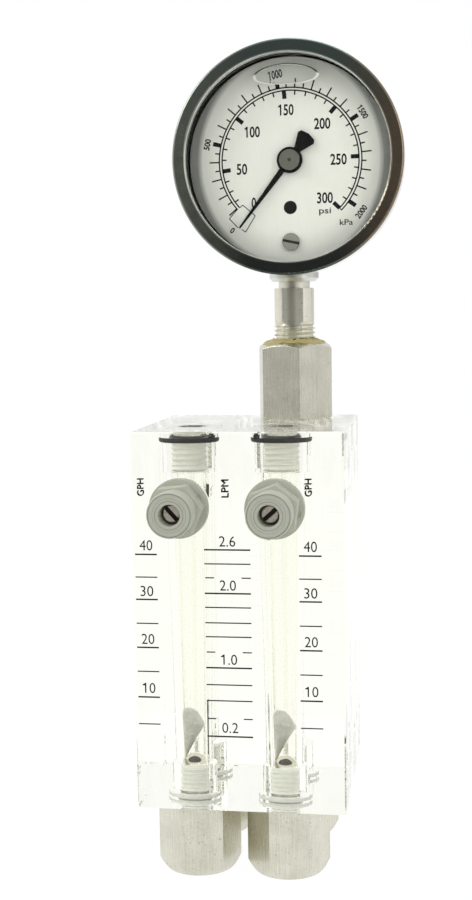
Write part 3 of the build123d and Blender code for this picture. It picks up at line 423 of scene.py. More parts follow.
FINISHES = {
    "clear_block": clear("clear_acrylic", (0.987, 0.992, 0.93, 1), 1.49, (0.96, 0.965, 0.95, 1)),
    "window_clear": clear("window_glass", (0.985, 0.99, 0.985, 1), 1.12, (0.93, 0.935, 0.93, 1)),
    "satin_steel": satin_steel(),
    "bright_steel": bright_steel(),
    "polished_ring": polished_ring(),
    "grey_plastic": grey_plastic(),
    "float_grey": float_metal(),
    "dial_white": dial_white(),
    "cap_grey": turned_cap(),
    "pale_seal": plain("pale_seal", 4.0, (0.80, 0.805, 0.76, 1), (0.90, 0.905, 0.87, 1),
                       (0.34, 0.2), (0.15, 0.04)),
    "black_rubber": plain("black_rubber", 7.0, (0.010, 0.011, 0.012, 1), (0.035, 0.037, 0.038, 1),
                          (0.38, 0.2), (0.2, 0.04)),
    "hand_black": plain("enamel_black", 4.0, (0.003, 0.003, 0.003, 1), (0.008, 0.008, 0.007, 1),
                        (0.30, 0.2), (0.1, 0.03), Specular_IOR_Level=0.08),
    "sealant_yellow": plain("thread_dope", 0.8, (0.40, 0.32, 0.085, 1), (0.66, 0.60, 0.30, 1),
                            (0.40, 0.25), (0.4, 0.2), detail=4.0, rough=0.65),
    "movement_brass": plain("movement_brass", 3.0, (0.62, 0.45, 0.19, 1), (0.80, 0.62, 0.30, 1),
                            (0.26, 0.18), (0.15, 0.03), stretch=(0.2, 1, 1), Metallic=1.0),
}
TAPE = plain("taped_thread", 3.0, (0.80, 0.80, 0.75, 1), (0.93, 0.93, 0.89, 1),
             (0.45, 0.2), (0.15, 0.04), stretch=(0.1, 0.1, 1), Specular_IOR_Level=0.3)
CASE = case_steel()
STEM = stem_steel()
SPINDLE = spindle_metal()
DIAL_SCREW = dial_screw_metal()
SCALE_INK = ink("scale_ink", 0.016)
DIAL_INK = ink("dial_ink", 0.012)


def dress(node, material):
    data = nodes[node].data
    data.materials.clear()
    data.materials.append(material)


def dress_nodes():
    """Each node takes the finish that the record's slot names, apart from a few."""
    for row in frame["record"]["subparts"]:
        dress(row["node"], FINISHES[row["material_slot"]])
    for name in ("gauge_case", "case_boss", "fill_plug"):
        dress(name, CASE)
    for name in ("valve_spindle_left", "valve_spindle_right"):
        dress(name, SPINDLE)
    dress("dial_screw", DIAL_SCREW)


# Mesh building

# Points nearer to each other than this are one
SAME_POINT = 1e-7


def finish_piece(bm, name, slot, material=None, body="meter", smooth=True, angle=35.0, outward=True):
    """Makes one piece of the object from a bmesh."""
    if outward:
        bmesh.ops.recalc_face_normals(bm, faces=bm.faces)
    data = bpy.data.meshes.new(name)
    bm.to_mesh(data)
    bm.free()
    data.materials.append(material or FINISHES[slot])
    if "custom_normal" in data.attributes:
        data.attributes.remove(data.attributes["custom_normal"])
    piece = bpy.data.objects.new(name, data)
    bpy.context.scene.collection.objects.link(piece)
    if smooth:
        data.shade_smooth()
        data.set_sharp_from_angle(angle=radians(angle))
    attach(piece, body)
    return piece


def lathe(outline, centre, axis=(0, 0, 1), steps=96):
    """Turns a closed outline of (radius, height) about an axis that stands or points to the front."""
    bm = bmesh.new()
    along = Vector(axis)
    out = Vector((1, 0, 0))
    ring = [bm.verts.new(Vector(centre) + out * r + along * h) for r, h in outline]
    edges = [bm.edges.new((ring[k], ring[(k + 1) % len(ring)])) for k in range(len(ring))]
    bmesh.ops.spin(bm, geom=ring + edges, cent=centre, axis=along, angle=tau, steps=steps, use_merge=True)
    bmesh.ops.remove_doubles(bm, verts=bm.verts, dist=SAME_POINT)
    return bm


def cut_thread(bm, centre, radius, pitch, depth, low, high):
    """Presses a helical thread into an upright cylinder of rows. It fades in and out over one pitch."""
    near = 0.02 * MM
    steepness = 1.6
    for v in bm.verts:
        x, y = v.co.x - centre[0], v.co.y - centre[1]
        r = hypot(x, y)
        if abs(r - radius) > near or not low <= v.co.z <= high:
            continue
        turn = ((v.co.z / pitch - atan2(y, x) / tau) % 1.0) * 2 - 1
        ease = min(1.0, (v.co.z - low) / pitch, (high - v.co.z) / pitch)
        shrink = depth * min(1.0, abs(turn) * steepness) * ease
        v.co.x, v.co.y = centre[0] + x * (r - shrink) / r, centre[1] + y * (r - shrink) / r


def rows(radius, low, high, spacing):
    """Points of an outline along a straight wall, near enough to each other to carry a thread."""
    count = max(2, int(round(abs(high - low) / spacing)))
    return [(radius, low + (high - low) * k / count) for k in range(count + 1)]


def copy_of(node):
    """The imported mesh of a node, merged, with whole flat faces."""
    bm = bmesh.new()
    bm.from_mesh(nodes[node].data)
    bmesh.ops.remove_doubles(bm, verts=bm.verts, dist=SAME_POINT)
    bmesh.ops.dissolve_limit(bm, angle_limit=radians(1.0), verts=bm.verts, edges=bm.edges)
    return bm


def crisp(piece, width=0.12):
    """Small rounds on the sharp edges, and flat faces that stay flat."""
    bevel = piece.modifiers.new("edges", "BEVEL")
    bevel.width, bevel.segments = width * MM, 2
    bevel.limit_method, bevel.angle_limit = "ANGLE", radians(32)
    bevel.use_clamp_overlap = False
    shading = piece.modifiers.new("shading", "WEIGHTED_NORMAL")
    shading.keep_sharp = True


def turn_down(bm, centre, radius, low, high):
    """Takes the outside between two heights down to a radius."""
    for v in bm.verts:
        x, y = v.co.x - centre[0], v.co.y - centre[1]
        r = hypot(x, y)
        if r > radius and low < v.co.z < high:
            v.co.x, v.co.y = centre[0] + x * radius / r, centre[1] + y * radius / r


# Block and screwed pieces

def make_block():
    """The clear block again, with round walls that bend light smoothly."""
    bm = bmesh.new()
    bm.from_mesh(nodes["meter_block"].data)
    bmesh.ops.remove_doubles(bm, verts=bm.verts, dist=SAME_POINT)
    block = finish_piece(bm, "clear_body", "clear_block", angle=17, outward=False)
    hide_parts("meter_block")


NOSE_R, NECK_R = 6.55 * MM, 5.98 * MM
NOSE_LENGTH, NOSE_COLLAR = 10.0 * MM, 1.85 * MM
NOSE_THREAD_START, NOSE_THREAD_END = NOSE_COLLAR + 0.5 * MM, NOSE_LENGTH - 0.6 * MM
THREAD_PITCH, THREAD_DEPTH = 1.337 * MM, 0.75 * MM
THREAD_BORE = 5.3 * MM
NOSE_CORE = 5.6 * MM
PAST_NOSE = 20 * MM
AIR_GAP = 0.03 * MM
ON_SEAT = 1e-6


def threaded_fitting(node, centre, seat, up):
    """A hexagon and its screwed nose. Air stays between its seat and the clear block."""
    s = 1 if up else -1
    bm = copy_of(node)
    turn_down(bm, centre, NOSE_CORE, *sorted((seat + s * NOSE_COLLAR, seat + s * PAST_NOSE)))
    for v in bm.verts:
        if abs(v.co.z - seat) < ON_SEAT:
            v.co.z -= s * AIR_GAP
    body = finish_piece(bm, node + "_body", "satin_steel")
    crisp(body)
    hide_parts(node)

    outline = [(THREAD_BORE, NOSE_COLLAR), (NECK_R, NOSE_COLLAR)]
    outline += rows(NOSE_R, NOSE_THREAD_START, NOSE_THREAD_END, THREAD_PITCH / 8)
    outline += [(NOSE_R - 0.6 * MM, NOSE_LENGTH), (THREAD_BORE, NOSE_LENGTH)]
    bm = lathe([(r, s * h) for r, h in outline], (centre[0], centre[1], seat), steps=72)
    cut_thread(bm, centre, NOSE_R, THREAD_PITCH, THREAD_DEPTH,
               *sorted((seat + s * NOSE_THREAD_START, seat + s * NOSE_THREAD_END)))
    finish_piece(bm, node + "_thread", "satin_steel", TAPE)


def make_fittings():
    for row, y in (("front_", Y_FRONT), ("rear_", Y_REAR)):
        for side, x in (("left", X_LEFT), ("right", X_RIGHT)):
            threaded_fitting("port_fitting_" + row + side, (x, y), Z_BASE, up=True)
    threaded_fitting("gauge_coupling", (X_RIGHT, Y_REAR), Z_TOP, up=False)


PLUG_THREAD_R, PLUG_BORE, PLUG_CORE = 8.0 * MM, 6.6 * MM, 6.9 * MM
PLUG_LENGTH, PLUG_GROOVE = 12.3 * MM, 3.25 * MM
PLUG_THREAD_START, PLUG_THREAD_END = PLUG_GROOVE + 0.4 * MM, PLUG_LENGTH - 0.8 * MM
PLUG_PITCH, PLUG_THREAD_DEPTH = 1.6 * MM, 0.85 * MM


def make_top_plugs():
    """The plugs' heads, and the threads below their rings. Heights go down from the block's top."""
    for side, x in (("left", X_LEFT), ("right", X_RIGHT)):
        centre = (x, Y_FRONT)
        bm = copy_of("top_plug_" + side)
        turn_down(bm, centre, PLUG_CORE, Z_TOP - PAST_NOSE, Z_TOP - PLUG_GROOVE)
        head = finish_piece(bm, "top_plug_" + side + "_head", "bright_steel")
        crisp(head, 0.08)
        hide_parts("top_plug_" + side)

        outline = [(PLUG_BORE, PLUG_GROOVE), (PLUG_THREAD_R - 0.5 * MM, PLUG_GROOVE)]
        outline += rows(PLUG_THREAD_R, PLUG_THREAD_START, PLUG_THREAD_END, PLUG_PITCH / 8)
        outline += [(PLUG_THREAD_R - 0.8 * MM, PLUG_LENGTH), (PLUG_BORE, PLUG_LENGTH)]
        bm = lathe([(r, -h) for r, h in outline], (x, Y_FRONT, Z_TOP), steps=80)
        cut_thread(bm, centre, PLUG_THREAD_R, PLUG_PITCH, PLUG_THREAD_DEPTH,
                   Z_TOP - PLUG_THREAD_END, Z_TOP - PLUG_THREAD_START)
        finish_piece(bm, "top_plug_" + side + "_thread", "bright_steel", TAPE)


STEM_R, STEM_CORE, STEM_HALF_FLAT = 6.55 * MM, 5.75 * MM, 5.8 * MM
# Down from the gauge's middle: the case, the neck, and the part of the flats above the thread
STEM_THREAD_TOP = Z_GAUGE - 32.6 * MM - 5.6 * MM - 10.3 * MM
STEM_FLATS_END = STEM_THREAD_TOP - 0.9 * MM
STEM_THREAD_DEPTH, STEM_ROWS = 0.95 * MM, 0.17 * MM


def make_stem_thread():
    """The gauge's stem: its thread starts on the corners of the wrench flats."""
    centre = (X_RIGHT, Y_REAR)
    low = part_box("gauge_socket")[0].z
    bm = copy_of("gauge_socket")
    for level in (STEM_THREAD_TOP, STEM_THREAD_TOP - 0.05 * MM):
        geometry = bm.verts[:] + bm.edges[:] + bm.faces[:]
        bmesh.ops.bisect_plane(bm, geom=geometry, plane_co=(0, 0, level), plane_no=(0, 0, 1), dist=1e-8)
    turn_down(bm, centre, STEM_CORE, low - MM, STEM_THREAD_TOP - 0.02 * MM)
    body = finish_piece(bm, "gauge_stem_body", "bright_steel", STEM)
    crisp(body, 0.08)
    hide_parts("gauge_socket")

    thread_low = low + 0.8 * MM
    outline = [(THREAD_BORE, STEM_THREAD_TOP)] + rows(STEM_R, STEM_THREAD_TOP, thread_low, STEM_ROWS)
    outline += [(STEM_R - 0.8 * MM, low), (THREAD_BORE, low)]
    bm = lathe(outline, (X_RIGHT, Y_REAR, 0), steps=72)
    cut_thread(bm, centre, STEM_R, THREAD_PITCH, STEM_THREAD_DEPTH, thread_low, STEM_THREAD_TOP - 0.1 * MM)
    for v in bm.verts:
        if v.co.z > STEM_FLATS_END:
            v.co.x = min(max(v.co.x, X_RIGHT - STEM_HALF_FLAT), X_RIGHT + STEM_HALF_FLAT)
            v.co.y = min(max(v.co.y, Y_REAR - STEM_HALF_FLAT), Y_REAR + STEM_HALF_FLAT)
    finish_piece(bm, "gauge_stem_thread", "bright_steel", STEM)


def press_ring(node, slot, reach, section, drop):
    """A rubber ring pressed against the clear wall, so that it shows at its full width."""
    low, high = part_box(node)
    middle = (low + high) / 2 - Vector((0, 0, drop))
    half = (high.z - low.z) / 2
    outline = []
    for k in range(24):
        a = tau * k / 24
        across = abs(cos(a)) ** 0.55 * (1 if cos(a) > 0 else -1)
        tall = abs(sin(a)) ** 0.8 * (1 if sin(a) > 0 else -1)
        outline.append((reach - section / 2 + across * section / 2, tall * half))
    ring = finish_piece(lathe(outline, middle), node + "_pressed", slot)
    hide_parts(node)


# How far out the pressed rings reach, their section, and how far below its solid a ring sits
PLUG_RING = (8.80 * MM, 1.9 * MM, 0.75 * MM)
PORT_RING = (7.86 * MM, 1.3 * MM, 0.0)


def make_rings():
    for side in ("left", "right"):
        press_ring("plug_oring_" + side, "black_rubber", *PLUG_RING)
    ports = ["port_oring_" + row + side for row in ("front_", "rear_") for side in ("left", "right")]
    for node in ports + ["coupling_oring"]:
        press_ring(node, "pale_seal", *PORT_RING)


# Needle valves, in millimetres. Heights are from the block's face.
BARREL_FRONT, HEX_FRONT, FLANGE_FRONT = 18.1, 11.2, 5.2
BARREL_R, HEX_CORNER_R, FLANGE_R = 6.34, 7.7, 8.35
PIP_AT_R, PIP_SIZE = 7.55, (0.35, 0.7, 1.3)
HEAD_LENGTH = 2.0


def bonnet_outline():
    """Radius and height of the valve's body, once round from the mouth of its bore."""
    front = BARREL_FRONT
    lip = [(2.95, front - 0.3), (3.25, front), (3.75, front), (3.8, front - 0.16), (3.95, front - 0.16),
           (4.0, front), (4.56, front), (4.62, front - 0.1), (4.68, front), (5.66, front),
           (5.7, front - 0.3), (5.92, front - 0.3), (5.96, front - 0.1), (6.2, front - 0.3)]
    barrel = [(BARREL_R, front - 0.7), (BARREL_R, front - 3.0), (6.2, front - 3.25), (6.2, FLANGE_FRONT)]
    flange = [(8.1, FLANGE_FRONT), (8.28, FLANGE_FRONT - 0.08), (FLANGE_R, FLANGE_FRONT - 0.3),
              (FLANGE_R, 3.0), (7.55, 0.03)]
    nose = [(5.98, 0.03), (5.98, -1.85), (6.55, -2.35), (6.55, -9.4), (5.95, -10)]
    bore = [(3.8, -10), (3.8, -1.0), (3.56, -1.0), (3.56, 12.75), (2.95, 12.75)]
    return [(r * MM, h * MM) for r, h in lip + barrel + flange + nose + bore]


def make_bonnet(side, x, turn, pip):
    """One needle valve body. Its hexagon and the pip on its flange stand at the photograph's angles."""
    node = "valve_bonnet_" + side
    bm = lathe(bonnet_outline(), (x, BLOCK_FACE, Z_VALVE), axis=(0, -1, 0))
    body = finish_piece(bm, node + "_turned", "grey_plastic", angle=24)
    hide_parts(node)

    bm = bmesh.new()
    place = Matrix.Translation((x, BLOCK_FACE, Z_VALVE)) @ STANDING
    on_flange = place @ Matrix.Translation((0, 0, FLANGE_FRONT * MM))
    bmesh.ops.create_circle(bm, cap_ends=True, segments=6, radius=HEX_CORNER_R * MM,
                            matrix=on_flange @ Matrix.Rotation(radians(turn + 30), 4, "Z"))
    raised = bmesh.ops.extrude_face_region(bm, geom=bm.faces[:])["geom"]
    bmesh.ops.translate(bm, verts=[v for v in raised if isinstance(v, bmesh.types.BMVert)],
                        vec=(0, -(HEX_FRONT - FLANGE_FRONT) * MM, 0))
    bmesh.ops.bevel(bm, geom=bm.edges[:], offset=0.16 * MM, segments=3, profile=0.5,
                    affect="EDGES", material=-1)
    finish_piece(bm, node + "_hexagon", "grey_plastic", angle=50)

    a = radians(pip)
    at = (x + PIP_AT_R * MM * cos(a), BLOCK_FACE - FLANGE_FRONT * MM, Z_VALVE + PIP_AT_R * MM * sin(a))
    place = Matrix.Translation(at) @ Matrix.Rotation(radians(-pip), 4, "Y")
    size = Matrix.Diagonal((*[s * MM for s in PIP_SIZE], 1))
    bm = bmesh.new()
    bmesh.ops.create_cube(bm, size=1.0, matrix=place @ size)
    bmesh.ops.bevel(bm, geom=bm.edges[:], offset=0.1 * MM, segments=2, profile=0.5,
                    affect="EDGES", material=-1)
    finish_piece(bm, "flange_pip_" + side, "grey_plastic")


def make_spindle(side):
    """The slotted spindle again, its head set back to suit the barrel."""
    node = "valve_spindle_" + side
    bm = copy_of(node)
    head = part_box(node)[0].y
    for v in bm.verts:
        if v.co.y < head + HEAD_LENGTH * MM:
            v.co.y += HEAD_SET_BACK
    spindle = finish_piece(bm, node + "_head", "bright_steel", SPINDLE, side + "_spindle", smooth=False)
    crisp(spindle, 0.1)
    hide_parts(node)


def make_valves():
    for side, x, turn, pip in (("left", X_LEFT, 6, 31), ("right", X_RIGHT, 22, -11)):
        make_bonnet(side, x, turn, pip)
        make_spindle(side)


BEAD_INNER, BEAD_SPREAD = 6.57 * MM, 3.4 * MM
COUPLING_FLAT_R, CHAMFER_SLOPE = 8.9 * MM, 0.577


def make_sealant():
    """Sealant squeezed out round the stem and run over the coupling's chamfer."""
    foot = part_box("thread_sealant")[0].z
    radii = [BEAD_INNER + BEAD_SPREAD * k / 12 for k in range(13)]
    outline = [(r, 0) for r in radii] + [(r, MM) for r in reversed(radii)]
    bm = lathe(outline, (X_RIGHT, Y_REAR, foot))
    for v in bm.verts:
        x, y = v.co.x - X_RIGHT, v.co.y - Y_REAR
        r = hypot(x, y)
        round_it = Vector((x, y, 0)) / r
        reach = 1 + 0.42 * noise.noise(round_it * 1.7 + Vector((3, 7, 1))) + 0.16 * noise.noise(round_it * 6)
        part = min(1.0, (r - BEAD_INNER) / BEAD_SPREAD)
        new_r = BEAD_INNER + (r - BEAD_INNER) * reach
        top = v.co.z > foot + 0.5 * MM
        v.co.x, v.co.y = X_RIGHT + x / r * new_r, Y_REAR + y / r * new_r
        ground = foot - max(0.0, new_r - COUPLING_FLAT_R) * CHAMFER_SLOPE
        if top:
            lump = 0.75 + 0.5 * noise.noise(v.co / MM * 0.9) + 0.25 * noise.noise(v.co / MM * 2.2)
            thick = (0.95 * (1 - part) ** 1.5 + 0.28) * min(1.0, (1 - part) * 6 + 0.1)
            v.co.z = ground + thick * lump * MM
        else:
            v.co.z = ground - 0.05 * MM
    bead = finish_piece(bm, "sealant_bead", "sealant_yellow", angle=80)
    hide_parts("thread_sealant")


# Print

def flat_words(words, bold):
    """Words as a flat bmesh, at a size of one in the font."""
    curve = bpy.data.curves.new("words", "FONT")
    curve.body, curve.size = words, 1.0
    curve.offset = bold
    curve.resolution_u = 3
    holder = bpy.data.objects.new("words", curve)
    bpy.context.scene.collection.objects.link(holder)
    bpy.context.view_layer.update()
    mesh = bpy.data.meshes.new_from_object(holder.evaluated_get(bpy.context.evaluated_depsgraph_get()))
    bpy.data.objects.remove(holder)
    bpy.data.curves.remove(curve)
    flat = bmesh.new()
    flat.from_mesh(mesh)
    bpy.data.meshes.remove(mesh)
    return flat


def span(flat, axis):
    values = [v.co[axis] for v in flat.verts]
    return min(values), max(values)


def flag_ones(flat, words, bold):
    """Gives each 1 its short stroke at the top, which the font leaves out."""
    one = flat_words("1", bold)
    (left, right), (foot, top) = span(one, 0), span(one, 1)
    one.free()
    stem, height = right - left, top - foot
    for k, letter in enumerate(words):
        if letter != "1":
            continue
        upto = flat_words(words[:k + 1], bold)
        edge = span(upto, 0)[1] - stem
        upto.free()
        root_x, tip_x = edge + 0.3 * stem, edge - 0.24 * height
        corners = ((root_x, top), (root_x, top - 0.24 * height),
                   (tip_x, top - 0.27 * height), (tip_x, top - 0.17 * height))
        flat.faces.new([flat.verts.new((x, y, 0)) for x, y in corners])


def lettering(bm, words, height, width, x, z, y, turn=0.0, bold=0.0):
    """Adds words to a mesh, standing in a plane of constant y and centred on x, z."""
    flat = flat_words(words, bold)
    flag_ones(flat, words, bold)
    (left, right), (foot, top) = span(flat, 0), span(flat, 1)
    centre = Vector(((left + right) / 2, (foot + top) / 2, 0))
    size = Matrix.Diagonal((width / (right - left), height / (top - foot), 1, 1))
    place = Matrix.Translation((x, y, z)) @ Matrix.Rotation(-radians(turn), 4, "Y") @ STANDING
    flat.transform(place @ size @ Matrix.Translation(-centre))
    mesh = bpy.data.meshes.new("words")
    flat.to_mesh(mesh)
    flat.free()
    bm.from_mesh(mesh)
    bpy.data.meshes.remove(mesh)


def stroke(bm, x0, z0, x1, z1, thick, y):
    """Adds one straight printed line."""
    length = hypot(x1 - x0, z1 - z0)
    place = (Matrix.Translation(((x0 + x1) / 2, y, (z0 + z1) / 2))
             @ Matrix.Rotation(-atan2(z1 - z0, x1 - x0), 4, "Y") @ STANDING)
    bmesh.ops.create_grid(bm, x_segments=1, y_segments=1, size=0.5,
                          matrix=place @ Matrix.Diagonal((length, thick, 1, 1)))


def thicken(bm, depth):
    """Gives flat print the thickness of its ink, towards the front."""
    for f in bm.faces:
        if f.normal.y > 0:
            f.normal_flip()
    bmesh.ops.solidify(bm, geom=bm.faces[:], thickness=-depth)


# Flow scales, in millimetres from the left and the top of the block's face.
# A column's values: the ends of its lines, the middle of its numbers, and the middle of its unit.
SIDE_COLUMNS = ((0.9, 7.2, 4.1, 2.9), (47.4, 53.7, 50.6, 50.2))
MIDDLE_COLUMN = (20.7, 33.8, 27.3, 26.9)
MIDDLE_DASH_ENDS = ((20.9, 23.4), (31.2, 33.8))
BRACKET_X, BRACKET_FROM, BRACKET_TO = 20.9, 76.3, 91.9
SIDE_LINES = (34.6, 41.1, 47.5, 54.4, 61.35, 68.3, 75.75, 83.6)
SIDE_BOLD = (34.6, 47.5, 61.35, 75.75)
SIDE_NUMBERS = ((32.0, "40"), (45.1, "30"), (58.9, "20"), (73.1, "10"))
MIDDLE_LINES = (33.1, 37.1, 45.5, 49.5, 53.9, 57.9, 66.8, 71.7, 76.3, 86.65)
MIDDLE_BOLD = (33.1, 45.5, 66.8, 86.65)
MIDDLE_DASHES = (41.06, 62.3, 81.5)
MIDDLE_NUMBERS = ((30.7, "2.6"), (43.2, "2.0"), (64.4, "1.0"), (84.1, "0.2"))
BOLD_LINE, SIDE_LINE, MIDDLE_LINE, BRACKET_LINE = 0.44, 0.34, 0.35, 0.26
NUMBER_HEIGHT, SIDE_NUMBER_WIDTH, MIDDLE_NUMBER_WIDTH = 3.0, 3.7, 4.6
PRINT_LIFT, SCALE_INK_DEPTH, DIAL_INK_DEPTH = 0.005 * MM, 0.03 * MM, 0.02 * MM


def print_scales():
    """Flow scales beside the two tubes."""
    bm = bmesh.new()
    y = BLOCK_FACE - PRINT_LIFT

    def at(x, z):
        return block_low.x + x * MM, block_high.z - z * MM

    def line(x0, z0, x1, z1, thick):
        stroke(bm, *at(x0, z0), *at(x1, z1), thick * MM, y)

    def number(words, width, x, z):
        lettering(bm, words, NUMBER_HEIGHT * MM, width * MM, *at(x, z), y)

    def unit(words, height, width, x, z):
        """Upright unit, printed twice a hair apart, which makes it bold."""
        px, pz = at(x, z)
        for k in (-1, 1):
            lettering(bm, words, height * MM, width * MM, px + k * 0.10 * MM, pz + k * 0.08 * MM,
                      y + k * 0.002 * MM, turn=90)

    for x0, x1, number_x, unit_x in SIDE_COLUMNS:
        for z in SIDE_LINES:
            line(x0, z, x1, z, BOLD_LINE if z in SIDE_BOLD else SIDE_LINE)
        for z, words in SIDE_NUMBERS:
            number(words, SIDE_NUMBER_WIDTH, number_x, z)
        unit("GPH", 1.9, 4.9, unit_x, 15.5)
    x0, x1, number_x, unit_x = MIDDLE_COLUMN
    for z in MIDDLE_LINES:
        line(x0, z, x1, z, BOLD_LINE if z in MIDDLE_BOLD else MIDDLE_LINE)
    for z in MIDDLE_DASHES:
        for start, end in MIDDLE_DASH_ENDS:
            line(start, z, end, z, SIDE_LINE)
    for z, words in MIDDLE_NUMBERS:
        number(words, MIDDLE_NUMBER_WIDTH, number_x, z)
    unit("LPM", 2.0, 5.0, unit_x, 15.8)
    line(BRACKET_X, BRACKET_FROM, BRACKET_X, BRACKET_TO, BRACKET_LINE)
    thicken(bm, SCALE_INK_DEPTH)
    finish_piece(bm, "flow_scales", None, SCALE_INK, smooth=False, outward=False)


# Dial print, in millimetres and degrees about its middle, from the right and anticlockwise
MIDDLE_PSI, MIDDLE_ANGLE, DEGREES_PER_PSI = 150.0, 94.6, 0.928
KPA_PER_PSI = 6.8948
BOX_ANGLE = 221.4
PSI_ARC, KPA_ARC, ARC_LINE, BOX_LINE = 20.75, 21.6, 0.40, 0.26
FINE_TICK, BOLD_TICK = 0.42, 1.25
PSI_HEIGHT, KPA_HEIGHT = 3.35, 1.9
# The first row whose step divides a value gives its tick: step, inner and outer radius, thickness
PSI_TICKS = ((50, 18.3, PSI_ARC, BOLD_TICK), (10, 19.4, PSI_ARC, FINE_TICK))
KPA_TICKS = ((500, 21.5, 24.1, BOLD_TICK), (100, 21.5, 24.6, FINE_TICK), (50, 21.5, 23.0, FINE_TICK))
# Text, width, place right of and above the middle, and turn
PSI_NUMBERS = (("0", 1.45, -11.2, -12.4), ("50", 3.2, -14.7, -2.2), ("100", 4.7, -11.4, 8.8),
               ("150", 4.7, -1.1, 15.0), ("200", 4.9, 9.8, 10.6), ("250", 4.9, 14.6, -0.1),
               ("300", 4.8, 10.4, -11.4))
KPA_NUMBERS = (("0", 1.1, -17.9, -20.5, -38), ("500", 3.3, -25.2, 5.5, 78), ("1000", 4.2, -4.1, 25.4, 9),
               ("1500", 4.2, 21.9, 13.6, -58), ("2000", 4.2, 21.3, -15.8, 52))
ZERO_BOX = (((21.7, 221.2), (22.5, 221.2), (25.3, 222.0), (25.5, 230.6)),
            ((20.6, 221.4), (19.5, 221.4), (19.5, 236.2), (25.2, 236.6), (25.2, 233.4)))
DOT_AT, DOT_R = (-0.1, -14.0), 2.0


def dial_point(radius, angle):
    return X_RIGHT + radius * MM * cos(radians(angle)), Z_GAUGE + radius * MM * sin(radians(angle))


def psi_angle(value):
    return MIDDLE_ANGLE + (MIDDLE_PSI - value) * DEGREES_PER_PSI


def dial_arc(bm, radius, thick, start, end, y):
    """A printed arc, turned clockwise from start to end."""
    x0, z0 = dial_point(radius - thick / 2, start)
    x1, z1 = dial_point(radius + thick / 2, start)
    ends = [bm.verts.new((x0, y, z0)), bm.verts.new((x1, y, z1))]
    edge = bm.edges.new(ends)
    bmesh.ops.spin(bm, geom=ends + [edge], cent=(X_RIGHT, y, Z_GAUGE), axis=(0, 1, 0),
                   angle=radians(start - end), steps=96)


def print_dial():
    """Pressure scales of the gauge. Ticks that would fall in the box at zero are left off."""
    bm = bmesh.new()
    y = DIAL_FACE - PRINT_LIFT
    end = psi_angle(300)

    def tick(angle, inner, outer, thick):
        stroke(bm, *dial_point(inner, angle), *dial_point(outer, angle), thick * MM, y)

    def words(text, height, width, dx, dz, turn=0.0, bold=0.02):
        lettering(bm, text, height * MM, width * MM, X_RIGHT + dx * MM, Z_GAUGE + dz * MM, y,
                  turn=turn, bold=bold)

    def tick_for(value, angle, table):
        if angle <= BOX_ANGLE:
            row = [size for step, *size in table if value % step == 0][0]
            tick(angle, *row)

    for value in range(10, 300, 10):
        tick_for(value, psi_angle(value), PSI_TICKS)
    tick(end, 18.3, 20.8, BOLD_TICK)
    for value in range(50, 2001, 50):
        tick_for(value, psi_angle(value / KPA_PER_PSI), KPA_TICKS)
    for radius in (PSI_ARC, KPA_ARC):
        dial_arc(bm, radius, ARC_LINE, BOX_ANGLE, end, y)
    tick(end, 20.6, 21.75, 0.3)
    for path in ZERO_BOX:
        points = [dial_point(r, a) for r, a in path]
        for a, b in zip(points, points[1:]):
            stroke(bm, *a, *b, BOX_LINE * MM, y)

    for text, width, dx, dz in PSI_NUMBERS:
        words(text, PSI_HEIGHT, width, dx, dz)
    words("psi", 2.3, 3.6, 10.4, -15.5, bold=0.01)
    words("kPa", 1.7, 4.0, 16.8, -18.8, bold=0.01)
    for text, width, dx, dz, turn in KPA_NUMBERS:
        words(text, KPA_HEIGHT, width, dx, dz, turn, bold=0.03)
    dot = Matrix.Translation((X_RIGHT + DOT_AT[0] * MM, y, Z_GAUGE + DOT_AT[1] * MM)) @ STANDING
    bmesh.ops.create_circle(bm, cap_ends=True, segments=40, radius=DOT_R * MM, matrix=dot)
    thicken(bm, DIAL_INK_DEPTH)
    finish_piece(bm, "dial_print", None, DIAL_INK, smooth=False, outward=False)


# Air bubble

BUBBLE_X, BUBBLE_Z = X_RIGHT - 0.6 * MM, Z_GAUGE + 25.0 * MM
BUBBLE_HALF = (9.6 * MM, 0.95 * MM, 2.9 * MM)
EDGE_R, EDGE_HALF_WIDTH, EDGE_HALF_DEPTH, EDGE_FLATNESS = 9.5 * MM, 0.42 * MM, 0.2 * MM, 0.31


def sag(x):
    """How far the bubble's ends hang, because it follows the round case."""
    return (x / (30 * MM)) ** 2 * 6 * MM


def make_bubble():
    """Air left at the top of the liquid, flat against the window."""
    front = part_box("gauge_window")[1].y + 0.05 * MM
    bm = bmesh.new()
    place = Matrix.Translation((BUBBLE_X, front + BUBBLE_HALF[1], BUBBLE_Z))
    bmesh.ops.create_uvsphere(bm, u_segments=64, v_segments=32, radius=1.0,
                              matrix=place @ Matrix.Diagonal((*BUBBLE_HALF, 1)))
    for v in bm.verts:
        v.co.z -= sag(v.co.x - X_RIGHT)
    skin = clear("bubble_skin", (0.97, 0.98, 0.97, 1), 1.36, (0.95, 0.955, 0.95, 1))
    finish_piece(bm, "air_bubble", "window_clear", skin, angle=180)

    middle = Vector((BUBBLE_X, front + 0.05 * MM, BUBBLE_Z))
    turns = [tau * k / 8 for k in range(8)]
    bm = lathe([(EDGE_R + EDGE_HALF_WIDTH * cos(a), EDGE_HALF_DEPTH * sin(a)) for a in turns], middle,
               axis=(0, -1, 0))
    for v in bm.verts:
        v.co.z = middle.z + (v.co.z - middle.z) * EDGE_FLATNESS - sag(v.co.x - X_RIGHT)
    finish_piece(bm, "bubble_edge", "window_clear", bubble_edge(), angle=180)


# Stage

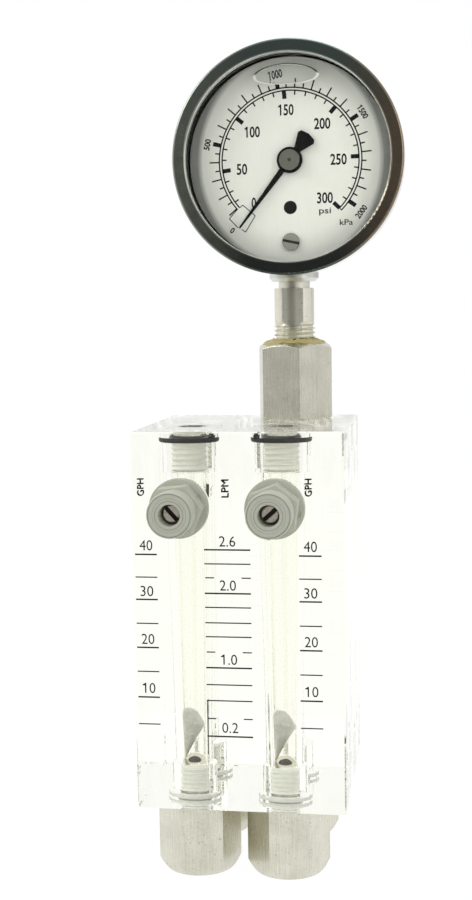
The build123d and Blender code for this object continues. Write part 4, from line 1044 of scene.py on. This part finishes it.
def make_world():
    """White to the camera. Mirrors see a bright room, less bright in front and dim behind the camera."""
    world = bpy.data.worlds.new("studio")
    bpy.context.scene.world = world
    world.use_nodes = True
    graph = Graph(world.node_tree)
    camera, refracted, glossy = graph.rays("Camera", "Transmission", "Glossy")
    mirrored = (glossy + refracted).clamped()
    direction = graph.wire("ShaderNodeTexCoord", output="Generated")
    x, y, z = graph.axes(direction)
    behind_camera = graph.wire("ShaderNodeVectorMath", {"operation": "DOT_PRODUCT"}, {
        0: direction, 1: (-0.12, -0.986, 0.115)}, output="Value")
    dim = ((behind_camera - 0.90) / 0.055).clamped()
    front = ((0.1 - y) * 1.6).clamped()
    room = 0.97 - (front * 0.38 + x.clamped() * y.clamped() * 0.75 + dim * 0.40) * (1.0 - refracted)
    around = mirrored * room + (1.0 - mirrored) * (0.70 + y * 0.25 + z * 0.25)
    strength = camera + (1.0 - camera) * around
    light = graph.wire("ShaderNodeBackground", None, {"Color": (1, 1, 1, 1), "Strength": strength})
    graph.node("ShaderNodeOutputWorld", None, {"Surface": light})


LAMP_AIM = Vector((0, 0, 0.12))


def make_lamp(name, at, size, watts):
    data = bpy.data.lights.new(name, "AREA")
    data.shape, data.size = "DISK", size
    data.energy = watts
    lamp = bpy.data.objects.new(name, data)
    lamp.location = at
    lamp.rotation_mode = "QUATERNION"
    lamp.rotation_quaternion = (LAMP_AIM - Vector(at)).to_track_quat("-Z", "Y")
    bpy.context.scene.collection.objects.link(lamp)


def make_floor():
    """Round floor just under the fittings. What is seen or mirrored glows, but keeps a faint shadow."""
    bm = bmesh.new()
    bmesh.ops.create_circle(bm, cap_ends=True, segments=96, radius=1.5,
                            matrix=Matrix.Translation((0, 1.3, -0.02 * MM)))
    data = bpy.data.meshes.new("floor")
    bm.to_mesh(data)
    bm.free()
    floor = bpy.data.objects.new("floor", data)
    bpy.context.scene.collection.objects.link(floor)
    made = Finish("floor_white", Base_Color=(0.88, 0.88, 0.88, 1), Roughness=0.9, Specular_IOR_Level=0.1)
    camera, glossy, refracted = made.rays("Camera", "Glossy", "Transmission")
    seen = (camera + glossy + refracted).clamped()
    glow = made.wire("ShaderNodeEmission", None, {"Color": (1, 1, 1, 1), "Strength": 1.06})
    made.give_way(seen * 0.90, glow)
    data.materials.append(made.material)


make_camera()
dress_nodes()
make_block()
make_fittings()
make_top_plugs()
make_stem_thread()
make_rings()
make_valves()
make_sealant()
print_scales()
print_dial()
make_bubble()
make_world()
make_floor()
make_lamp("key", (-0.80, -0.38, 0.75), 0.5, 2.6)
make_lamp("fill", (0.75, -0.55, 0.40), 0.6, 0.9)
make_lamp("top", (0.10, 0.25, 0.95), 0.5, 1.4)

scene = bpy.context.scene
scene.view_settings.view_transform = "Standard"
scene.cycles.max_bounces = 32
scene.cycles.transmission_bounces = 24
scene.cycles.transparent_max_bounces = 24
scene.cycles.glossy_bounces = 24
scene.cycles.diffuse_bounces = 3
